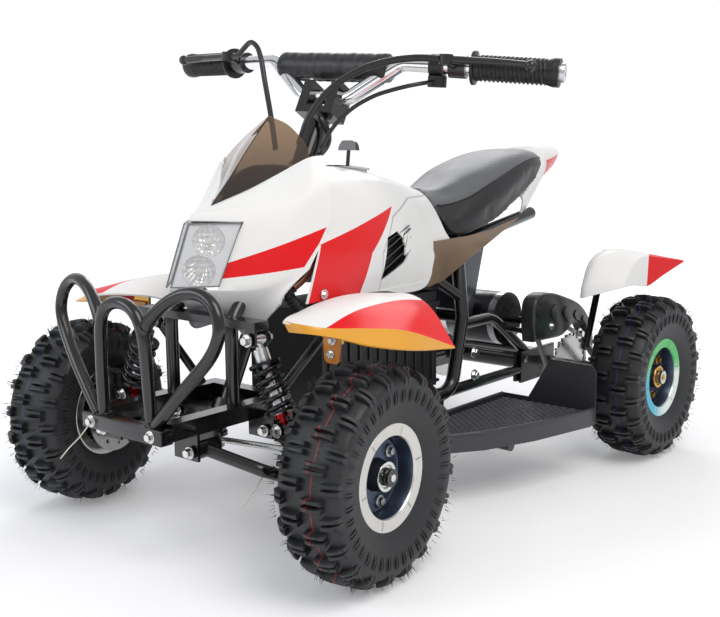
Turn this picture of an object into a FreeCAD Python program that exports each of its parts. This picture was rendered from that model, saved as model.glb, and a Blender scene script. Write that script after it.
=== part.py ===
# Child's electric quad bike. Millimetres, +X is the bike's own left, -Y its front, +Z up.
# The origin is on the floor below the middle of the machine.
import FreeCAD, Part
import math
import os

os.makedirs("parts", exist_ok=True)

# Driving dimensions
wheel_base = 708.0
front_axle_y = -374.0
rear_axle_y = front_axle_y + wheel_base
front_half_track = 268.0
rear_half_track = 291.0
tyre_radius = 136.0
tyre_width = 94.0
rim_flange_radius = 64.4
rim_opening_radius = 50.2
rim_width = 66.0
axle_z = tyre_radius

# Running clearances and manufacturing sizes
fit_gap = 0.3
running_gap = 1.0
sheet = 3.0
overrun = 2.0

# Steering
rake_deg = 27.0
head_top_y = -158.0
head_top_z = 562.0
head_length = 118.0
head_radius = 18.0
stem_radius = 11.0
parked_steer_deg = 8.0
toe_out_deg = 4.0
kingpin_x = 188.0
kingpin_radius = 6.0
steer_arm = 52.0
rod_eye_radius = 9.5
rod_pin_radius = 3.0
rod_radius = 4.0
pitman_z = 143.0
pitman_thickness = 5.0
ball_z = 164.0

# Tubes
main_tube = 11.0
brace_tube = 9.0
bumper_tube = 8.0
bar_tube = 11.0
rail_size = 22.0
rail_half_span = 66.0
rail_z = 183.0

rake = math.radians(rake_deg)
steer_axis = FreeCAD.Vector(0, math.sin(rake), math.cos(rake))
head_top = FreeCAD.Vector(0, head_top_y, head_top_z)


def vec(x, y, z):
    return FreeCAD.Vector(x, y, z)


def on_column(z):
    """Point of the steering axis at height z."""
    return head_top + steer_axis * ((z - head_top_z) / math.cos(rake))


def block(x0, x1, y0, y1, z0, z1):
    return Part.makeBox(x1 - x0, y1 - y0, z1 - z0, vec(x0, y0, z0))


def rod(start, end, radius):
    return Part.makeCylinder(radius, (end - start).Length, start, end - start)


def pipe_between(start, end, outer, inner):
    """Straight sleeve with an open bore."""
    along = (end - start).normalize()
    return rod(start, end, outer).cut(rod(start - along * overrun, end + along * overrun, inner))


def rounded_path(points, bend):
    """Wire of straight runs joined by tangent arcs of radius bend."""
    edges = []
    here = points[0]
    for before, corner, after in zip(points, points[1:], points[2:]):
        back = (before - corner).normalize()
        ahead = (after - corner).normalize()
        half = back.getAngle(ahead) / 2
        reach = bend / math.tan(half)
        first = corner + back * reach
        last = corner + ahead * reach
        inward = (back + ahead).normalize()
        middle = corner + inward * (bend / math.sin(half) - bend)
        edges.append(Part.LineSegment(here, first).toShape())
        edges.append(Part.Arc(first, middle, last).toShape())
        here = last
    edges.append(Part.LineSegment(here, points[-1]).toShape())
    return Part.Wire(edges)


def tube(points, radius, bend):
    """Round bar bent along a path."""
    path = rounded_path(points, bend)
    section = Part.Wire(Part.makeCircle(radius, points[0], points[1] - points[0]))
    return path.makePipeShell([section], True, False)


def fuse(shapes):
    return shapes[0].multiFuse(shapes[1:]).removeSplitter() if len(shapes) > 1 else shapes[0]


def flat(points):
    """Planar face from corner points."""
    return Part.Face(Part.makePolygon(points + points[:1]))


def ruled(sections):
    """Straight-sided solid through closed sections that have as many corners each."""
    return Part.makeLoft([Part.makePolygon(s + s[:1]) for s in sections], True, True)


def other_side(shape):
    return shape.mirror(vec(0, 0, 0), vec(1, 0, 0))


def turned(shape, base, axis, degrees):
    copy = shape.copy()
    copy.rotate(base, axis, degrees)
    return copy


def save(name, shape):
    if not shape.isValid():
        print("invalid", name)
    solids = shape.Solids
    out = solids[0] if len(solids) == 1 else Part.makeCompound(solids)
    out.exportStep("parts/" + name + ".step")
    print(name, len(solids), round(out.Volume / 1000, 1), "cm3")


# Tyres: a round carcass with two staggered rows of chunky lugs that wrap the shoulders
lug_height = 11.0
lug_pitches = 20
lug_length = 11.0
carcass_radius = tyre_radius - lug_height
bead_radius = 53.0
flange_thickness = 3.0
sidewall_shares = ((0.98, 0.86), (0.90, 0.955), (0.62, 1.0))
lug_shares = ((0.03, 0.90), (0.03, 1.0), (0.62, 0.99), (0.92, 0.90), (1.0, 0.76), (0.86, 0.76), (0.72, 0.88))


def tyre_at_origin():
    """Axis along X, middle of the tread at zero."""
    half = tyre_width / 2
    seat = rim_width / 2 - flange_thickness
    side = [(seat, bead_radius), (seat, rim_flange_radius + fit_gap), (rim_width / 2 + fit_gap, rim_flange_radius + fit_gap)]
    side += [(half * a, carcass_radius * b) for a, b in sidewall_shares]
    outline = side + [(-x, r) for x, r in reversed(side)]
    carcass = flat([vec(x, 0, r) for x, r in outline]).revolve(vec(0, 0, 0), vec(1, 0, 0), 360)
    profile = [vec(half * a, -lug_length / 2, tyre_radius * b) for a, b in lug_shares]
    lug = flat(profile).extrude(vec(0, lug_length, 0))
    other = other_side(lug)
    lugs = []
    for i in range(lug_pitches):
        angle = 360 / lug_pitches * i
        lugs.append(turned(lug, vec(0, 0, 0), vec(1, 0, 0), angle))
        lugs.append(turned(other, vec(0, 0, 0), vec(1, 0, 0), angle + 180 / lug_pitches))
    return carcass.multiFuse(lugs)


# Rims: pressed steel with wide flanges, a dished web and a hub
web_x = 6.0
web_thickness = 4.0
hub_radius = 21.0
hub_out = 26.0
hub_in = -26.0
stub_radius = 8.0
vent_radius = 5.0
vent_circle = 36.0
vent_count = 4


def rim_at_origin(bore):
    w = rim_width / 2
    t = flange_thickness
    r_out = rim_flange_radius
    r_in = rim_opening_radius
    web = web_x + web_thickness
    outline = [(w, r_out), (w, r_in), (web, r_in), (web, hub_radius), (hub_out, hub_radius), (hub_out, bore),
               (hub_in, bore), (hub_in, hub_radius), (web_x, hub_radius), (web_x, r_in), (-w, r_in), (-w, r_out),
               (-w + t, r_out), (-w + t, bead_radius), (w - t, bead_radius), (w - t, r_out)]
    rim = flat([vec(x, 0, r) for x, r in outline]).revolve(vec(0, 0, 0), vec(1, 0, 0), 360)
    vent = Part.makeCylinder(vent_radius, web_thickness + 2 * overrun, vec(web_x - overrun, 0, vent_circle), vec(1, 0, 0))
    vents = [turned(vent, vec(0, 0, 0), vec(1, 0, 0), 360 / vent_count * i) for i in range(vent_count)]
    return rim.cut(Part.makeCompound(vents))


# Brake disc, drilled, bolted to the inner end of the hub
disc_radius = 58.0
disc_thickness = 3.0
disc_x = front_half_track - 53.0
disc_hole_radius = 3.5
disc_hole_circle = 46.0
disc_hole_count = 12


def disc_at_origin(bore):
    """Disc and its carrier, from the hub's inner end outward to the disc's plane."""
    plane = disc_x - front_half_track
    disc = Part.makeCylinder(disc_radius, disc_thickness, vec(plane, 0, 0), vec(1, 0, 0))
    carrier = Part.makeCylinder(hub_radius, hub_in - plane, vec(plane, 0, 0), vec(1, 0, 0))
    hole = Part.makeCylinder(disc_hole_radius, disc_thickness + 2 * overrun,
                             vec(plane - overrun, 0, disc_hole_circle), vec(1, 0, 0))
    holes = [turned(hole, vec(0, 0, 0), vec(1, 0, 0), 360 / disc_hole_count * i) for i in range(disc_hole_count)]
    holes.append(Part.makeCylinder(bore, hub_in - plane + 2 * overrun, vec(plane - overrun, 0, 0), vec(1, 0, 0)))
    return disc.fuse(carrier).cut(Part.makeCompound(holes))


front_hub = vec(front_half_track, front_axle_y, axle_z)
kingpin = vec(kingpin_x, front_axle_y, axle_z)
up = vec(0, 0, 1)
tyre = tyre_at_origin()
front_rim = rim_at_origin(stub_radius + fit_gap)
front_disc = disc_at_origin(stub_radius + fit_gap)


def front_side(shape, left):
    """Set a left-hand piece at the parked steering angle of its side."""
    angle = parked_steer_deg - toe_out_deg if left else parked_steer_deg + toe_out_deg
    base = kingpin if left else vec(-kingpin_x, front_axle_y, axle_z)
    return turned(shape if left else other_side(shape), base, up, angle)


for side_name, is_left in (("left", True), ("right", False)):
    for piece_name, piece in (("tyre_front_", tyre), ("rim_front_", front_rim), ("disc_front_", front_disc)):
        save(piece_name + side_name, front_side(piece.translated(front_hub), is_left))

# Knuckle: kingpin tube, stub axle with its nut, steering arm with its ball, caliper over the disc
knuckle_tube = 10.0
knuckle_half = 27.0
nut_radius = 11.0
nut_length = 8.0
ball_radius = 8.0
arm_width = 12.0
arm_thickness = 7.0
caliper_gap = 2.0
caliper_thickness = 9.0
caliper_length = 38.0
caliper_inner_share = 0.62
caliper_outer_share = 1.16
riser_thickness = 5.5
caliper_cheek = 6.0

arm_z = ball_z - ball_radius - arm_thickness / 2
stub_end = front_half_track + hub_out + running_gap
knuckle = fuse([
    rod(kingpin - up * knuckle_half, kingpin + up * knuckle_half, knuckle_tube),
    rod(kingpin, vec(stub_end, front_axle_y, axle_z), stub_radius),
    rod(vec(stub_end, front_axle_y, axle_z), vec(stub_end + nut_length, front_axle_y, axle_z), nut_radius),
    block(kingpin_x - arm_width / 2, kingpin_x + arm_width / 2, front_axle_y - steer_arm, front_axle_y,
          arm_z - arm_thickness / 2, arm_z + arm_thickness / 2),
    rod(vec(kingpin_x, front_axle_y - steer_arm, arm_z - arm_thickness / 2),
        vec(kingpin_x, front_axle_y - steer_arm, arm_z + arm_thickness / 2), ball_radius),
])
knuckle = knuckle.cut(rod(kingpin - up * knuckle_half * 2, kingpin + up * knuckle_half * 2, kingpin_radius + fit_gap))
caliper_x = disc_x - caliper_gap - caliper_thickness
caliper_reach = disc_x + disc_thickness + caliper_gap + caliper_cheek
caliper_base = axle_z + disc_radius * caliper_inner_share
caliper_top = axle_z + disc_radius * caliper_outer_share
caliper = block(caliper_x, caliper_reach, front_axle_y, front_axle_y + caliper_length, caliper_base, caliper_top)
slot = block(disc_x - caliper_gap, disc_x + disc_thickness + caliper_gap, front_axle_y - overrun,
             front_axle_y + caliper_length + overrun, caliper_base - overrun, axle_z + disc_radius + caliper_gap)
riser_to = disc_x - caliper_gap
riser_from = riser_to - riser_thickness
riser_y = front_axle_y - arm_width / 2
riser_z = axle_z + knuckle_half - arm_width
bracket = block(kingpin_x, riser_to, riser_y, riser_y + arm_width, riser_z, axle_z + knuckle_half)
bracket = bracket.cut(rod(kingpin, kingpin + up * knuckle_half * 2, knuckle_tube - overrun))
riser = block(riser_from, riser_to, riser_y, riser_y + arm_width, riser_z, caliper_base + overrun)
knuckle = fuse([knuckle, caliper.cut(slot), bracket, riser])
for side_name, is_left in (("left", True), ("right", False)):
    save("knuckle_" + side_name, front_side(knuckle, is_left))

# Front arms: pivot sleeves at the frame, two legs, an outer bar and a yoke that holds the kingpin
arm_pivot_x = 88.0
arm_front_y = -472.0
arm_rear_y = -345.0
arm_pivot_z = 157.0
sleeve_radius = 11.0
sleeve_length = 30.0
arm_tube = 8.0
arm_corner = vec(166, -447, 138)
yoke_back_x = 170.0
yoke_plate = 6.0
yoke_half_width = 17.0
yoke_tip_x = kingpin_x + 11.0
yoke_half = knuckle_half + fit_gap
shock_top = vec(107, -395, 286)
shock_foot = vec(156, -395, 178)
shock_eye_radius = 9.0
shock_eye_width = 16.0
bolt_radius = 4.0

yoke_z0 = axle_z - yoke_half - yoke_plate
yoke_z1 = axle_z + yoke_half + yoke_plate
yoke = block(yoke_back_x - yoke_plate, yoke_tip_x, front_axle_y - yoke_half_width, front_axle_y + yoke_half_width,
             yoke_z0, yoke_z1)
yoke = yoke.cut(block(yoke_back_x, yoke_tip_x + overrun, front_axle_y - yoke_half_width - overrun,
                      front_axle_y + yoke_half_width + overrun, axle_z - yoke_half, axle_z + yoke_half))
front_leg_end = arm_corner
rear_leg_end = vec(yoke_back_x - yoke_plate, front_axle_y, axle_z - knuckle_half / 2)
outer_bar_end = vec(yoke_back_x - yoke_plate / 2, front_axle_y - yoke_half_width + overrun, yoke_z0 + arm_tube)
half_sleeve = vec(0, sleeve_length / 2, 0)
front_pivot = vec(arm_pivot_x, arm_front_y, arm_pivot_z)
rear_pivot = vec(arm_pivot_x, arm_rear_y, arm_pivot_z)
shock_lug = block(shock_foot.x - bolt_radius * 2, yoke_back_x, shock_foot.y - shock_eye_width / 2 - yoke_plate - fit_gap,
                  shock_foot.y - shock_eye_width / 2 - fit_gap, yoke_z1 - yoke_plate, shock_foot.z + bolt_radius * 2)
front_arm = fuse([
    rod(front_pivot - half_sleeve, front_pivot + half_sleeve, sleeve_radius),
    rod(rear_pivot - half_sleeve, rear_pivot + half_sleeve, sleeve_radius),
    tube([front_pivot, arm_corner, outer_bar_end], arm_tube, 16.0),
    rod(rear_pivot, rear_leg_end, arm_tube),
    yoke,
    rod(kingpin - up * yoke_half * 1.5, kingpin + up * yoke_half * 1.5, kingpin_radius),
    shock_lug,
    shock_lug.translated(vec(0, shock_eye_width + yoke_plate + 2 * fit_gap, 0)),
    rod(shock_foot - vec(0, shock_eye_width, 0), shock_foot + vec(0, shock_eye_width, 0), bolt_radius),
])
front_arm = front_arm.cut(Part.makeCompound([
    rod(front_pivot - half_sleeve * 2, front_pivot + half_sleeve * 2, bolt_radius + fit_gap),
    rod(rear_pivot - half_sleeve * 2, rear_pivot + half_sleeve * 2, bolt_radius + fit_gap)]))
save("front_arms", Part.makeCompound([front_arm, other_side(front_arm)]))


# Coil-over shocks: eyes, damper body, rod, perches and a coil spring
def coil(start, end, radius, wire, turns):
    """Round-wire helix from start to end."""
    length = (end - start).Length
    helix = Part.makeHelix(length / turns, length, radius)
    section = Part.Wire(Part.makeCircle(wire, vec(radius, 0, 0), vec(0, 1, 0)))
    spring = Part.Wire(helix.Edges).makePipeShell([section], True, True)
    spring.Placement = FreeCAD.Placement(start, FreeCAD.Rotation(vec(0, 0, 1), end - start))
    return spring


spring_radius = 17.0
spring_wire = 3.0
spring_turns = 5
damper_radius = 10.0
damper_rod = 5.0
perch_radius = 21.0
perch_thickness = 4.0
upper_perch_share = 0.27
lower_perch_share = 0.80
body_share = 0.52


def shock(top, foot, eye_axis, eye_width):
    """Upper eye, rod, perches, body and lower eye as one bar, and the spring fused round it."""
    run = foot - top
    along = run / run.Length
    upper = top + run * upper_perch_share
    lower = top + run * lower_perch_share
    half_eye = eye_axis * (eye_width / 2)
    eyes = [rod(p - half_eye, p + half_eye, shock_eye_radius) for p in (top, foot)]
    neck = along * (shock_eye_radius + damper_rod)
    core = [rod(top, foot, damper_rod), rod(top + neck, upper, damper_radius), rod(top + run * body_share, foot - neck, damper_radius),
            rod(upper, upper + along * perch_thickness, perch_radius),
            rod(lower, lower + along * perch_thickness, perch_radius)]
    bores = [rod(p - half_eye * 2, p + half_eye * 2, bolt_radius + fit_gap) for p in (top, foot)]
    body = eyes[0].multiFuse(eyes[1:] + core).cut(Part.makeCompound(bores))
    spring = coil(upper + along * perch_thickness, lower, spring_radius, spring_wire, spring_turns)
    return body.fuse(spring)


front_shock = shock(shock_top, shock_foot, vec(0, 1, 0), shock_eye_width)
save("front_shocks", Part.makeCompound([front_shock, other_side(front_shock)]))

# Steering stem: column, pitman plate below with its pin, and the clamps of the handlebar above
clamp_z = 596.0
pin_top_z = 176.0
clamp_half_span = 24.0
clamp_width = 16.0
clamp_radius = 19.0
stem_top = on_column(clamp_z)
stem_foot = on_column(pitman_z)
pitman_reach = steer_arm / math.cos(rake)
pin_point = vec(0, stem_foot.y - pitman_reach, pitman_z)
stem = rod(stem_foot, stem_top - steer_axis * bar_tube * 2, stem_radius)
pitman = fuse([
    block(-arm_width * 0.8, arm_width * 0.8, pin_point.y, stem_foot.y, pitman_z - pitman_thickness, pitman_z),
    rod(vec(0, stem_foot.y, pitman_z - pitman_thickness), vec(0, stem_foot.y, pitman_z), arm_width * 1.2),
    rod(vec(0, pin_point.y, pitman_z - pitman_thickness), vec(0, pin_point.y, pitman_z), arm_width * 0.8),
    rod(pin_point - up * pitman_thickness, vec(0, pin_point.y, pin_top_z), rod_pin_radius),
])
crown = block(-clamp_half_span - clamp_width / 2, clamp_half_span + clamp_width / 2, -clamp_radius, clamp_radius,
              -bar_tube * 3, -bar_tube * 2)
riser = block(clamp_half_span - clamp_width / 2, clamp_half_span + clamp_width / 2, -clamp_radius, clamp_radius,
              -bar_tube * 2, bar_tube * 1.7)
yoke_top = fuse([crown, riser, other_side(riser)])
yoke_top.rotate(vec(0, 0, 0), vec(1, 0, 0), -rake_deg)
yoke_top.translate(stem_top)
bar_centre = stem_top
clamp_bore = rod(bar_centre - vec(clamp_half_span * 2, 0, 0), bar_centre + vec(clamp_half_span * 2, 0, 0), bar_tube)
stem_piece = fuse([stem, pitman, yoke_top]).cut(clamp_bore)


def steered(shape):
    return turned(shape, head_top, steer_axis, parked_steer_deg)


save("steering_stem", steered(stem_piece))

# Handlebar: bent chrome tube with a crossbar
rise_x = 112.0
rise = vec(rise_x, bar_centre.y + 25.0, 648)
low_x = 40.0
grip_start = vec(205, bar_centre.y + 40.0, 651)
bar_end = vec(332, bar_centre.y + 76.0, 641)
low_point = vec(low_x, bar_centre.y, bar_centre.z)
bar_bend = 28.0
cross_radius = 7.0
half_bar = [bar_end, rise, low_point]
path = half_bar + [vec(-p.x, p.y, p.z) for p in reversed(half_bar)]
bar = tube(path, bar_tube, bar_bend)
cross_share = 0.86
cross_point = low_point + (rise - low_point) * cross_share
cross = rod(vec(-cross_point.x, cross_point.y, cross_point.z), cross_point, cross_radius)
save("handlebar", steered(bar.fuse(cross)))

# Foam pad round the crossbar, grips, levers with their perches, thumb throttle
pad_radius = 19.0
pad_half = 88.0
pad_z = cross_point.z
pad = pipe_between(vec(-pad_half, cross_point.y, pad_z), vec(pad_half, cross_point.y, pad_z), pad_radius, cross_radius)
pad = pad.cut(tube(path, bar_tube + fit_gap, bar_bend))
save("bar_pad", steered(pad))

grip_radius = 16.0
grip_length = 122.0
grip_flange = 20.0
grip_flange_length = 5.0
cap_radius = 14.0
cap_length = 6.0
bar_run = (bar_end - rise).normalize()
grip_from = bar_end - bar_run * grip_length
grip = fuse([pipe_between(grip_from, bar_end, grip_radius, bar_tube),
             pipe_between(grip_from, grip_from + bar_run * grip_flange_length, grip_flange, bar_tube),
             rod(bar_end, bar_end + bar_run * cap_length, cap_radius)])
save("grips", steered(Part.makeCompound([grip, other_side(grip)])))

perch_length = 24.0
perch_gap = 8.0
perch_outer = 16.0
lever_forward = vec(0, -38, 8)
lever_ball = 8.0
lever_radius = 5.5
lever_reach = 118.0
pivot_radius = 9.5
pivot_half = 7.0
perch_start = grip_from - bar_run * (perch_gap + perch_length)
perch_sleeve = pipe_between(perch_start, perch_start + bar_run * perch_length, perch_outer, bar_tube)
lever_pivot = perch_start + bar_run * perch_length / 2 + lever_forward
lever_tip = lever_pivot + bar_run * lever_reach + vec(0, -2, -2)
lever_bend = lever_pivot + bar_run * lever_reach * 0.6 + vec(0, 7, 0)
lever = fuse([perch_sleeve,
              rod(perch_start + bar_run * perch_length / 2 + lever_forward * 0.35, lever_pivot, lever_radius * 1.3),
              rod(lever_pivot - up * pivot_half, lever_pivot + up * pivot_half, pivot_radius),
              tube([lever_pivot, lever_bend, lever_tip], lever_radius, 60.0),
              Part.makeSphere(lever_ball, lever_tip)])
save("levers", steered(Part.makeCompound([lever, other_side(lever)])))

throttle_length = 20.0
throttle_start = perch_start - bar_run * (perch_gap + throttle_length)
throttle_drop = 30.0
barrel_radius = 13.5
barrel_middle = 23.0
throttle = fuse([pipe_between(throttle_start, throttle_start + bar_run * throttle_length, perch_outer, bar_tube),
                 rod(throttle_start + bar_run * throttle_length / 2 - up * bar_tube * 1.3,
                     throttle_start + bar_run * throttle_length / 2 - up * throttle_drop, barrel_radius)])
save("throttle", steered(throttle))

# Cables: from the lever pivots and the thumb throttle, down in front of the column into the nose
right_radius = 4.0
left_radius = 5.0
throttle_radius = 3.0


def cable(points, radius):
    """Hose along hand-placed points: straight runs and the largest arc that each pair of runs allows."""
    edges = []
    here = points[0]
    radii = []
    for before, corner, after in zip(points, points[1:], points[2:]):
        back = before - corner
        ahead = after - corner
        half = back.getAngle(ahead) / 2
        shorter = min(back.Length, ahead.Length)
        bend = 0.45 * shorter * math.tan(half)
        back.normalize()
        ahead.normalize()
        first = corner + back * (bend / math.tan(half))
        last = corner + ahead * (bend / math.tan(half))
        middle = corner + (back + ahead).normalize() * (bend / math.sin(half) - bend)
        edges += [Part.LineSegment(here, first).toShape(), Part.Arc(first, middle, last).toShape()]
        radii.append(round(bend))
        here = last
    edges.append(Part.LineSegment(here, points[-1]).toShape())
    wire = Part.Wire(edges)
    section = Part.Wire(Part.makeCircle(radius, points[0], points[1] - points[0]))
    hose = wire.makePipeShell([section], True, False)
    print("cable radii", radii, "volume over section times length", round(hose.Volume / (math.pi * radius ** 2 * wire.Length), 4))
    return hose


pivot_side = lever_pivot - bar_run * (pivot_radius + fit_gap)
barrel_side = throttle_start + bar_run * (throttle_length / 2) - vec(0, barrel_radius + running_gap, barrel_middle)
right_route = [vec(-pivot_side.x, pivot_side.y, pivot_side.z), vec(-168.5, -140.5, 654.2), vec(-153, -146, 665), vec(-135, -151, 676),
               vec(-117, -157, 668), vec(-104, -163, 648), vec(-92, -171, 622), vec(-74, -183, 590), vec(-52, -200, 556), vec(-34, -214, 520)]
left_route = [pivot_side, vec(160, -144, 655), vec(130, -155, 652), vec(96, -168, 643), vec(62, -181, 626), vec(34, -194, 600),
              vec(16, -207, 566), vec(10, -216, 528)]
throttle_route = [barrel_side, vec(160, -134, 621), vec(147, -148, 617), vec(128, -158, 611), vec(102, -167, 602), vec(72, -177, 584),
                  vec(48, -190, 556), vec(36, -200, 524)]
save("cables", steered(Part.makeCompound([cable(right_route, right_radius), cable(left_route, left_radius),
                                          cable(throttle_route, throttle_radius)])))

# Tie rods: from the ball on each knuckle's arm to an open eye round the pitman's pin
eye_outer = 13.0
eye_height = 8.0
eye_gap = 4.0
knuckle_ball = vec(kingpin_x, front_axle_y - steer_arm, ball_z)
stud_height = ball_radius
for side_name, is_left, level in (("left", True, 0), ("right", False, 1)):
    ball = front_side(Part.Vertex(knuckle_ball), is_left).Vertexes[0].Point
    pin = steered(Part.Vertex(pin_point)).Vertexes[0].Point
    eye_z = pitman_z + eye_gap + eye_height / 2 + level * (eye_height + 2 * running_gap)
    eye_centre = vec(pin.x, pin.y, eye_z)
    toward = (ball - eye_centre).normalize()
    link = fuse([
        rod(eye_centre - up * eye_height / 2, eye_centre + up * eye_height / 2, eye_outer),
        rod(eye_centre + toward * rod_eye_radius * 1.2, ball - toward * ball_radius / 2, rod_radius),
        rod(ball - up * stud_height + up * fit_gap, ball + up * stud_height / 2, ball_radius),
    ])
    link = link.cut(rod(eye_centre - up * eye_height, eye_centre + up * eye_height, rod_eye_radius))
    save("tie_rod_" + side_name, link)

# Rear axle: one shaft with its hubs, disc and sprocket, and the two wheels on it
shaft_radius = 8.5
rear_end = rear_half_track + hub_out + running_gap
sprocket_x = 143.0
sprocket_radius = 55.0
sprocket_thickness = 4.0
sprocket_teeth = 24
tooth_depth = 5.0
rear_disc_x = -120.0
rear_centre = vec(0, rear_axle_y, axle_z)
shaft = rod(vec(-rear_end, rear_axle_y, axle_z), vec(rear_end, rear_axle_y, axle_z), shaft_radius)
caps = [rod(vec(s * rear_end, rear_axle_y, axle_z), vec(s * (rear_end + nut_length), rear_axle_y, axle_z), nut_radius) for s in (1, -1)]
collars = [rod(vec(s * (rear_half_track + hub_in), rear_axle_y, axle_z),
               vec(s * (rear_half_track + hub_in - hub_radius), rear_axle_y, axle_z), hub_radius * 0.8) for s in (1, -1)]
rear_disc = rod(vec(rear_disc_x, rear_axle_y, axle_z), vec(rear_disc_x - disc_thickness, rear_axle_y, axle_z), disc_radius)
save("rear_axle", fuse([shaft] + caps + collars + [rear_disc]))

teeth = []
for i in range(sprocket_teeth):
    notch = Part.makeCylinder(tooth_depth, sprocket_thickness + 2 * overrun,
                              vec(sprocket_x - overrun, 0, sprocket_radius), vec(1, 0, 0))
    teeth.append(turned(notch, vec(0, 0, 0), vec(1, 0, 0), 360 / sprocket_teeth * i))
sprocket = Part.makeCylinder(sprocket_radius, sprocket_thickness, vec(sprocket_x, 0, 0), vec(1, 0, 0))
sprocket = sprocket.cut(Part.makeCompound(teeth + [Part.makeCylinder(shaft_radius, sprocket_thickness + 2 * overrun,
                                                                     vec(sprocket_x - overrun, 0, 0), vec(1, 0, 0))]))
save("sprocket", sprocket.translated(rear_centre))

rear_rim = rim_at_origin(shaft_radius).translated(vec(rear_half_track, rear_axle_y, axle_z))
save("rims_rear", Part.makeCompound([rear_rim, other_side(rear_rim)]))
rear_tyre = tyre.translated(vec(rear_half_track, rear_axle_y, axle_z))
save("tyre_rear_left", rear_tyre)
save("tyre_rear_right", other_side(rear_tyre))

# Frame: square rails in front, a bent loop each side, head tube, crossbars and brackets
rail_front_y = -512.0
rail_rear_y = -305.0
loop_x = 95.0
loop_z = 133.0
loop_bend = 34.0
upright = vec(loop_x, 75, 250)
seat_rail_start = vec(66, 100, 366)
seat_rail_end = vec(56, 345, 402)
tower_x = 60.0
tower_y = -395.0
tower_bar_z = 303.0
tower_bar = 12.0
bracket_plate = 4.0
bracket_drop = 30.0
carrier_plate = 6.0
rear_plate_y = 240.0
rear_plate_end = 300.0
stay_corner_y = 165.0
stay_z = 238.0
battery_rest_ys = (-215.0, 15.0)
step_bar_y = 10.0
step_bar_half = 232.0
step_bottom = 85.0
step_bar_z = step_bottom - fit_gap - brace_tube
guard_from = 132.0
guard_post_y = 200.0
guard_post_z = 214.0

head_foot = head_top - steer_axis * head_length
head_tube = pipe_between(head_top, head_foot, head_radius, stem_radius + fit_gap)
foot_plate_z = rail_z - rail_size / 2
foot_centre = on_column(foot_plate_z)
foot_bush = pipe_between(foot_centre - steer_axis * 8.0, foot_centre + steer_axis * 10.0, head_radius, stem_radius + fit_gap)


def side_frame():
    rail = block(rail_half_span - rail_size / 2, rail_half_span + rail_size / 2, rail_front_y, rail_rear_y,
                 rail_z - rail_size / 2, rail_z + rail_size / 2)
    loop = tube([vec(rail_half_span, rail_rear_y - rail_size, rail_z), vec(loop_x, rail_rear_y + 42.0, loop_z),
                 vec(loop_x, 46, loop_z), upright, seat_rail_start, seat_rail_end], main_tube, loop_bend)
    down = tube([vec(head_radius - 4.0, head_foot.y + 22.0, head_foot.z + 44.0), vec(tower_x, tower_y, tower_bar_z),
                 vec(tower_x, tower_y, rail_z)], brace_tube, loop_bend)
    top = rod(vec(head_radius - 4.0, head_foot.y + 6.0, head_foot.z + 12.0), vec(loop_x - 6.0, upright.y + 6.0, upright.z + 30.0), brace_tube)
    stay = tube([upright - vec(2, 0, 12), vec(loop_x - 2.0, stay_corner_y, stay_z), vec(loop_x - 2.0, rear_plate_end - 8.0, loop_z + 17.0)],
                brace_tube, 60.0)
    low = rod(vec(loop_x - 2.0, 46, loop_z), vec(loop_x - 2.0, rear_plate_end - 20.0, loop_z), brace_tube)
    plate = block(loop_x - carrier_plate + 1.0, loop_x + 1.0, rear_plate_y, rear_plate_end, loop_z - 20.0, loop_z + 32.0)
    lever_post = rod(vec(loop_x, step_bar_y, step_bar_z), vec(loop_x, step_bar_y, loop_z), brace_tube)
    clevises = []
    for pivot in (front_pivot, rear_pivot):
        for way in (-1, 1):
            near = pivot.y + way * (sleeve_length / 2 + fit_gap)
            ys = sorted((near, near + way * bracket_plate))
            clevises.append(block(rail_half_span - rail_size / 2, arm_pivot_x + sleeve_radius, ys[0], ys[1],
                                  arm_pivot_z - sleeve_radius, rail_z))
        reach = vec(0, sleeve_length / 2 + bracket_plate * 2, 0)
        clevises.append(rod(pivot - reach, pivot + reach, bolt_radius))
    for way in (-1, 1):
        near = shock_top.y + way * (shock_eye_width / 2 + fit_gap)
        ys = sorted((near, near + way * bracket_plate))
        clevises.append(block(shock_top.x - shock_eye_radius, shock_top.x + shock_eye_radius, ys[0], ys[1],
                              shock_top.z - shock_eye_radius, tower_bar_z + tower_bar / 2))
    eye_reach = vec(0, shock_eye_width / 2 + bracket_plate * 2, 0)
    clevises.append(rod(shock_top - eye_reach, shock_top + eye_reach, bolt_radius))
    guard_post = rod(vec(loop_x - 2.0, guard_post_y, guard_post_z), vec(guard_from - fit_gap, guard_post_y, guard_post_z), 5.0)
    arm = rod(vec(rail_half_span, -330, rail_z), vec(172, -342, 290), brace_tube * 0.7)
    return [rail, loop, down, top, stay, low, plate, lever_post, arm] + clevises, guard_post


crossbars = [rod(vec(-loop_x, y, loop_z), vec(loop_x, y, loop_z), brace_tube) for y in battery_rest_ys]
crossbars.append(block(-shock_top.x - shock_eye_radius, shock_top.x + shock_eye_radius, tower_y - tower_bar, tower_y + tower_bar,
                       tower_bar_z - tower_bar / 2 + 1.5, tower_bar_z + tower_bar / 2))
crossbars.append(block(-rail_half_span, rail_half_span, rail_rear_y - rail_size, rail_rear_y, rail_z - rail_size / 2, rail_z + rail_size / 2))
crossbars.append(block(-rail_half_span, rail_half_span, foot_centre.y - 22.0, foot_centre.y + 22.0, foot_plate_z - 3.0, foot_plate_z + 3.0)
                 .cut(rod(foot_centre - steer_axis * 30.0, foot_centre + steer_axis * 30.0, stem_radius + fit_gap)))
crossbars.append(foot_bush)
crossbars.append(rod(vec(-step_bar_half, step_bar_y, step_bar_z), vec(step_bar_half, step_bar_y, step_bar_z), brace_tube))
crossbars.append(rod(vec(-loop_x, upright.y, upright.z), vec(loop_x, upright.y, upright.z), brace_tube))
motor_y = 235.0
motor_z = 225.0
motor_radius = 46.0
motor_from = -20.0
motor_to = 80.0
saddle_y = 262.0
saddle_z = 171.0
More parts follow.
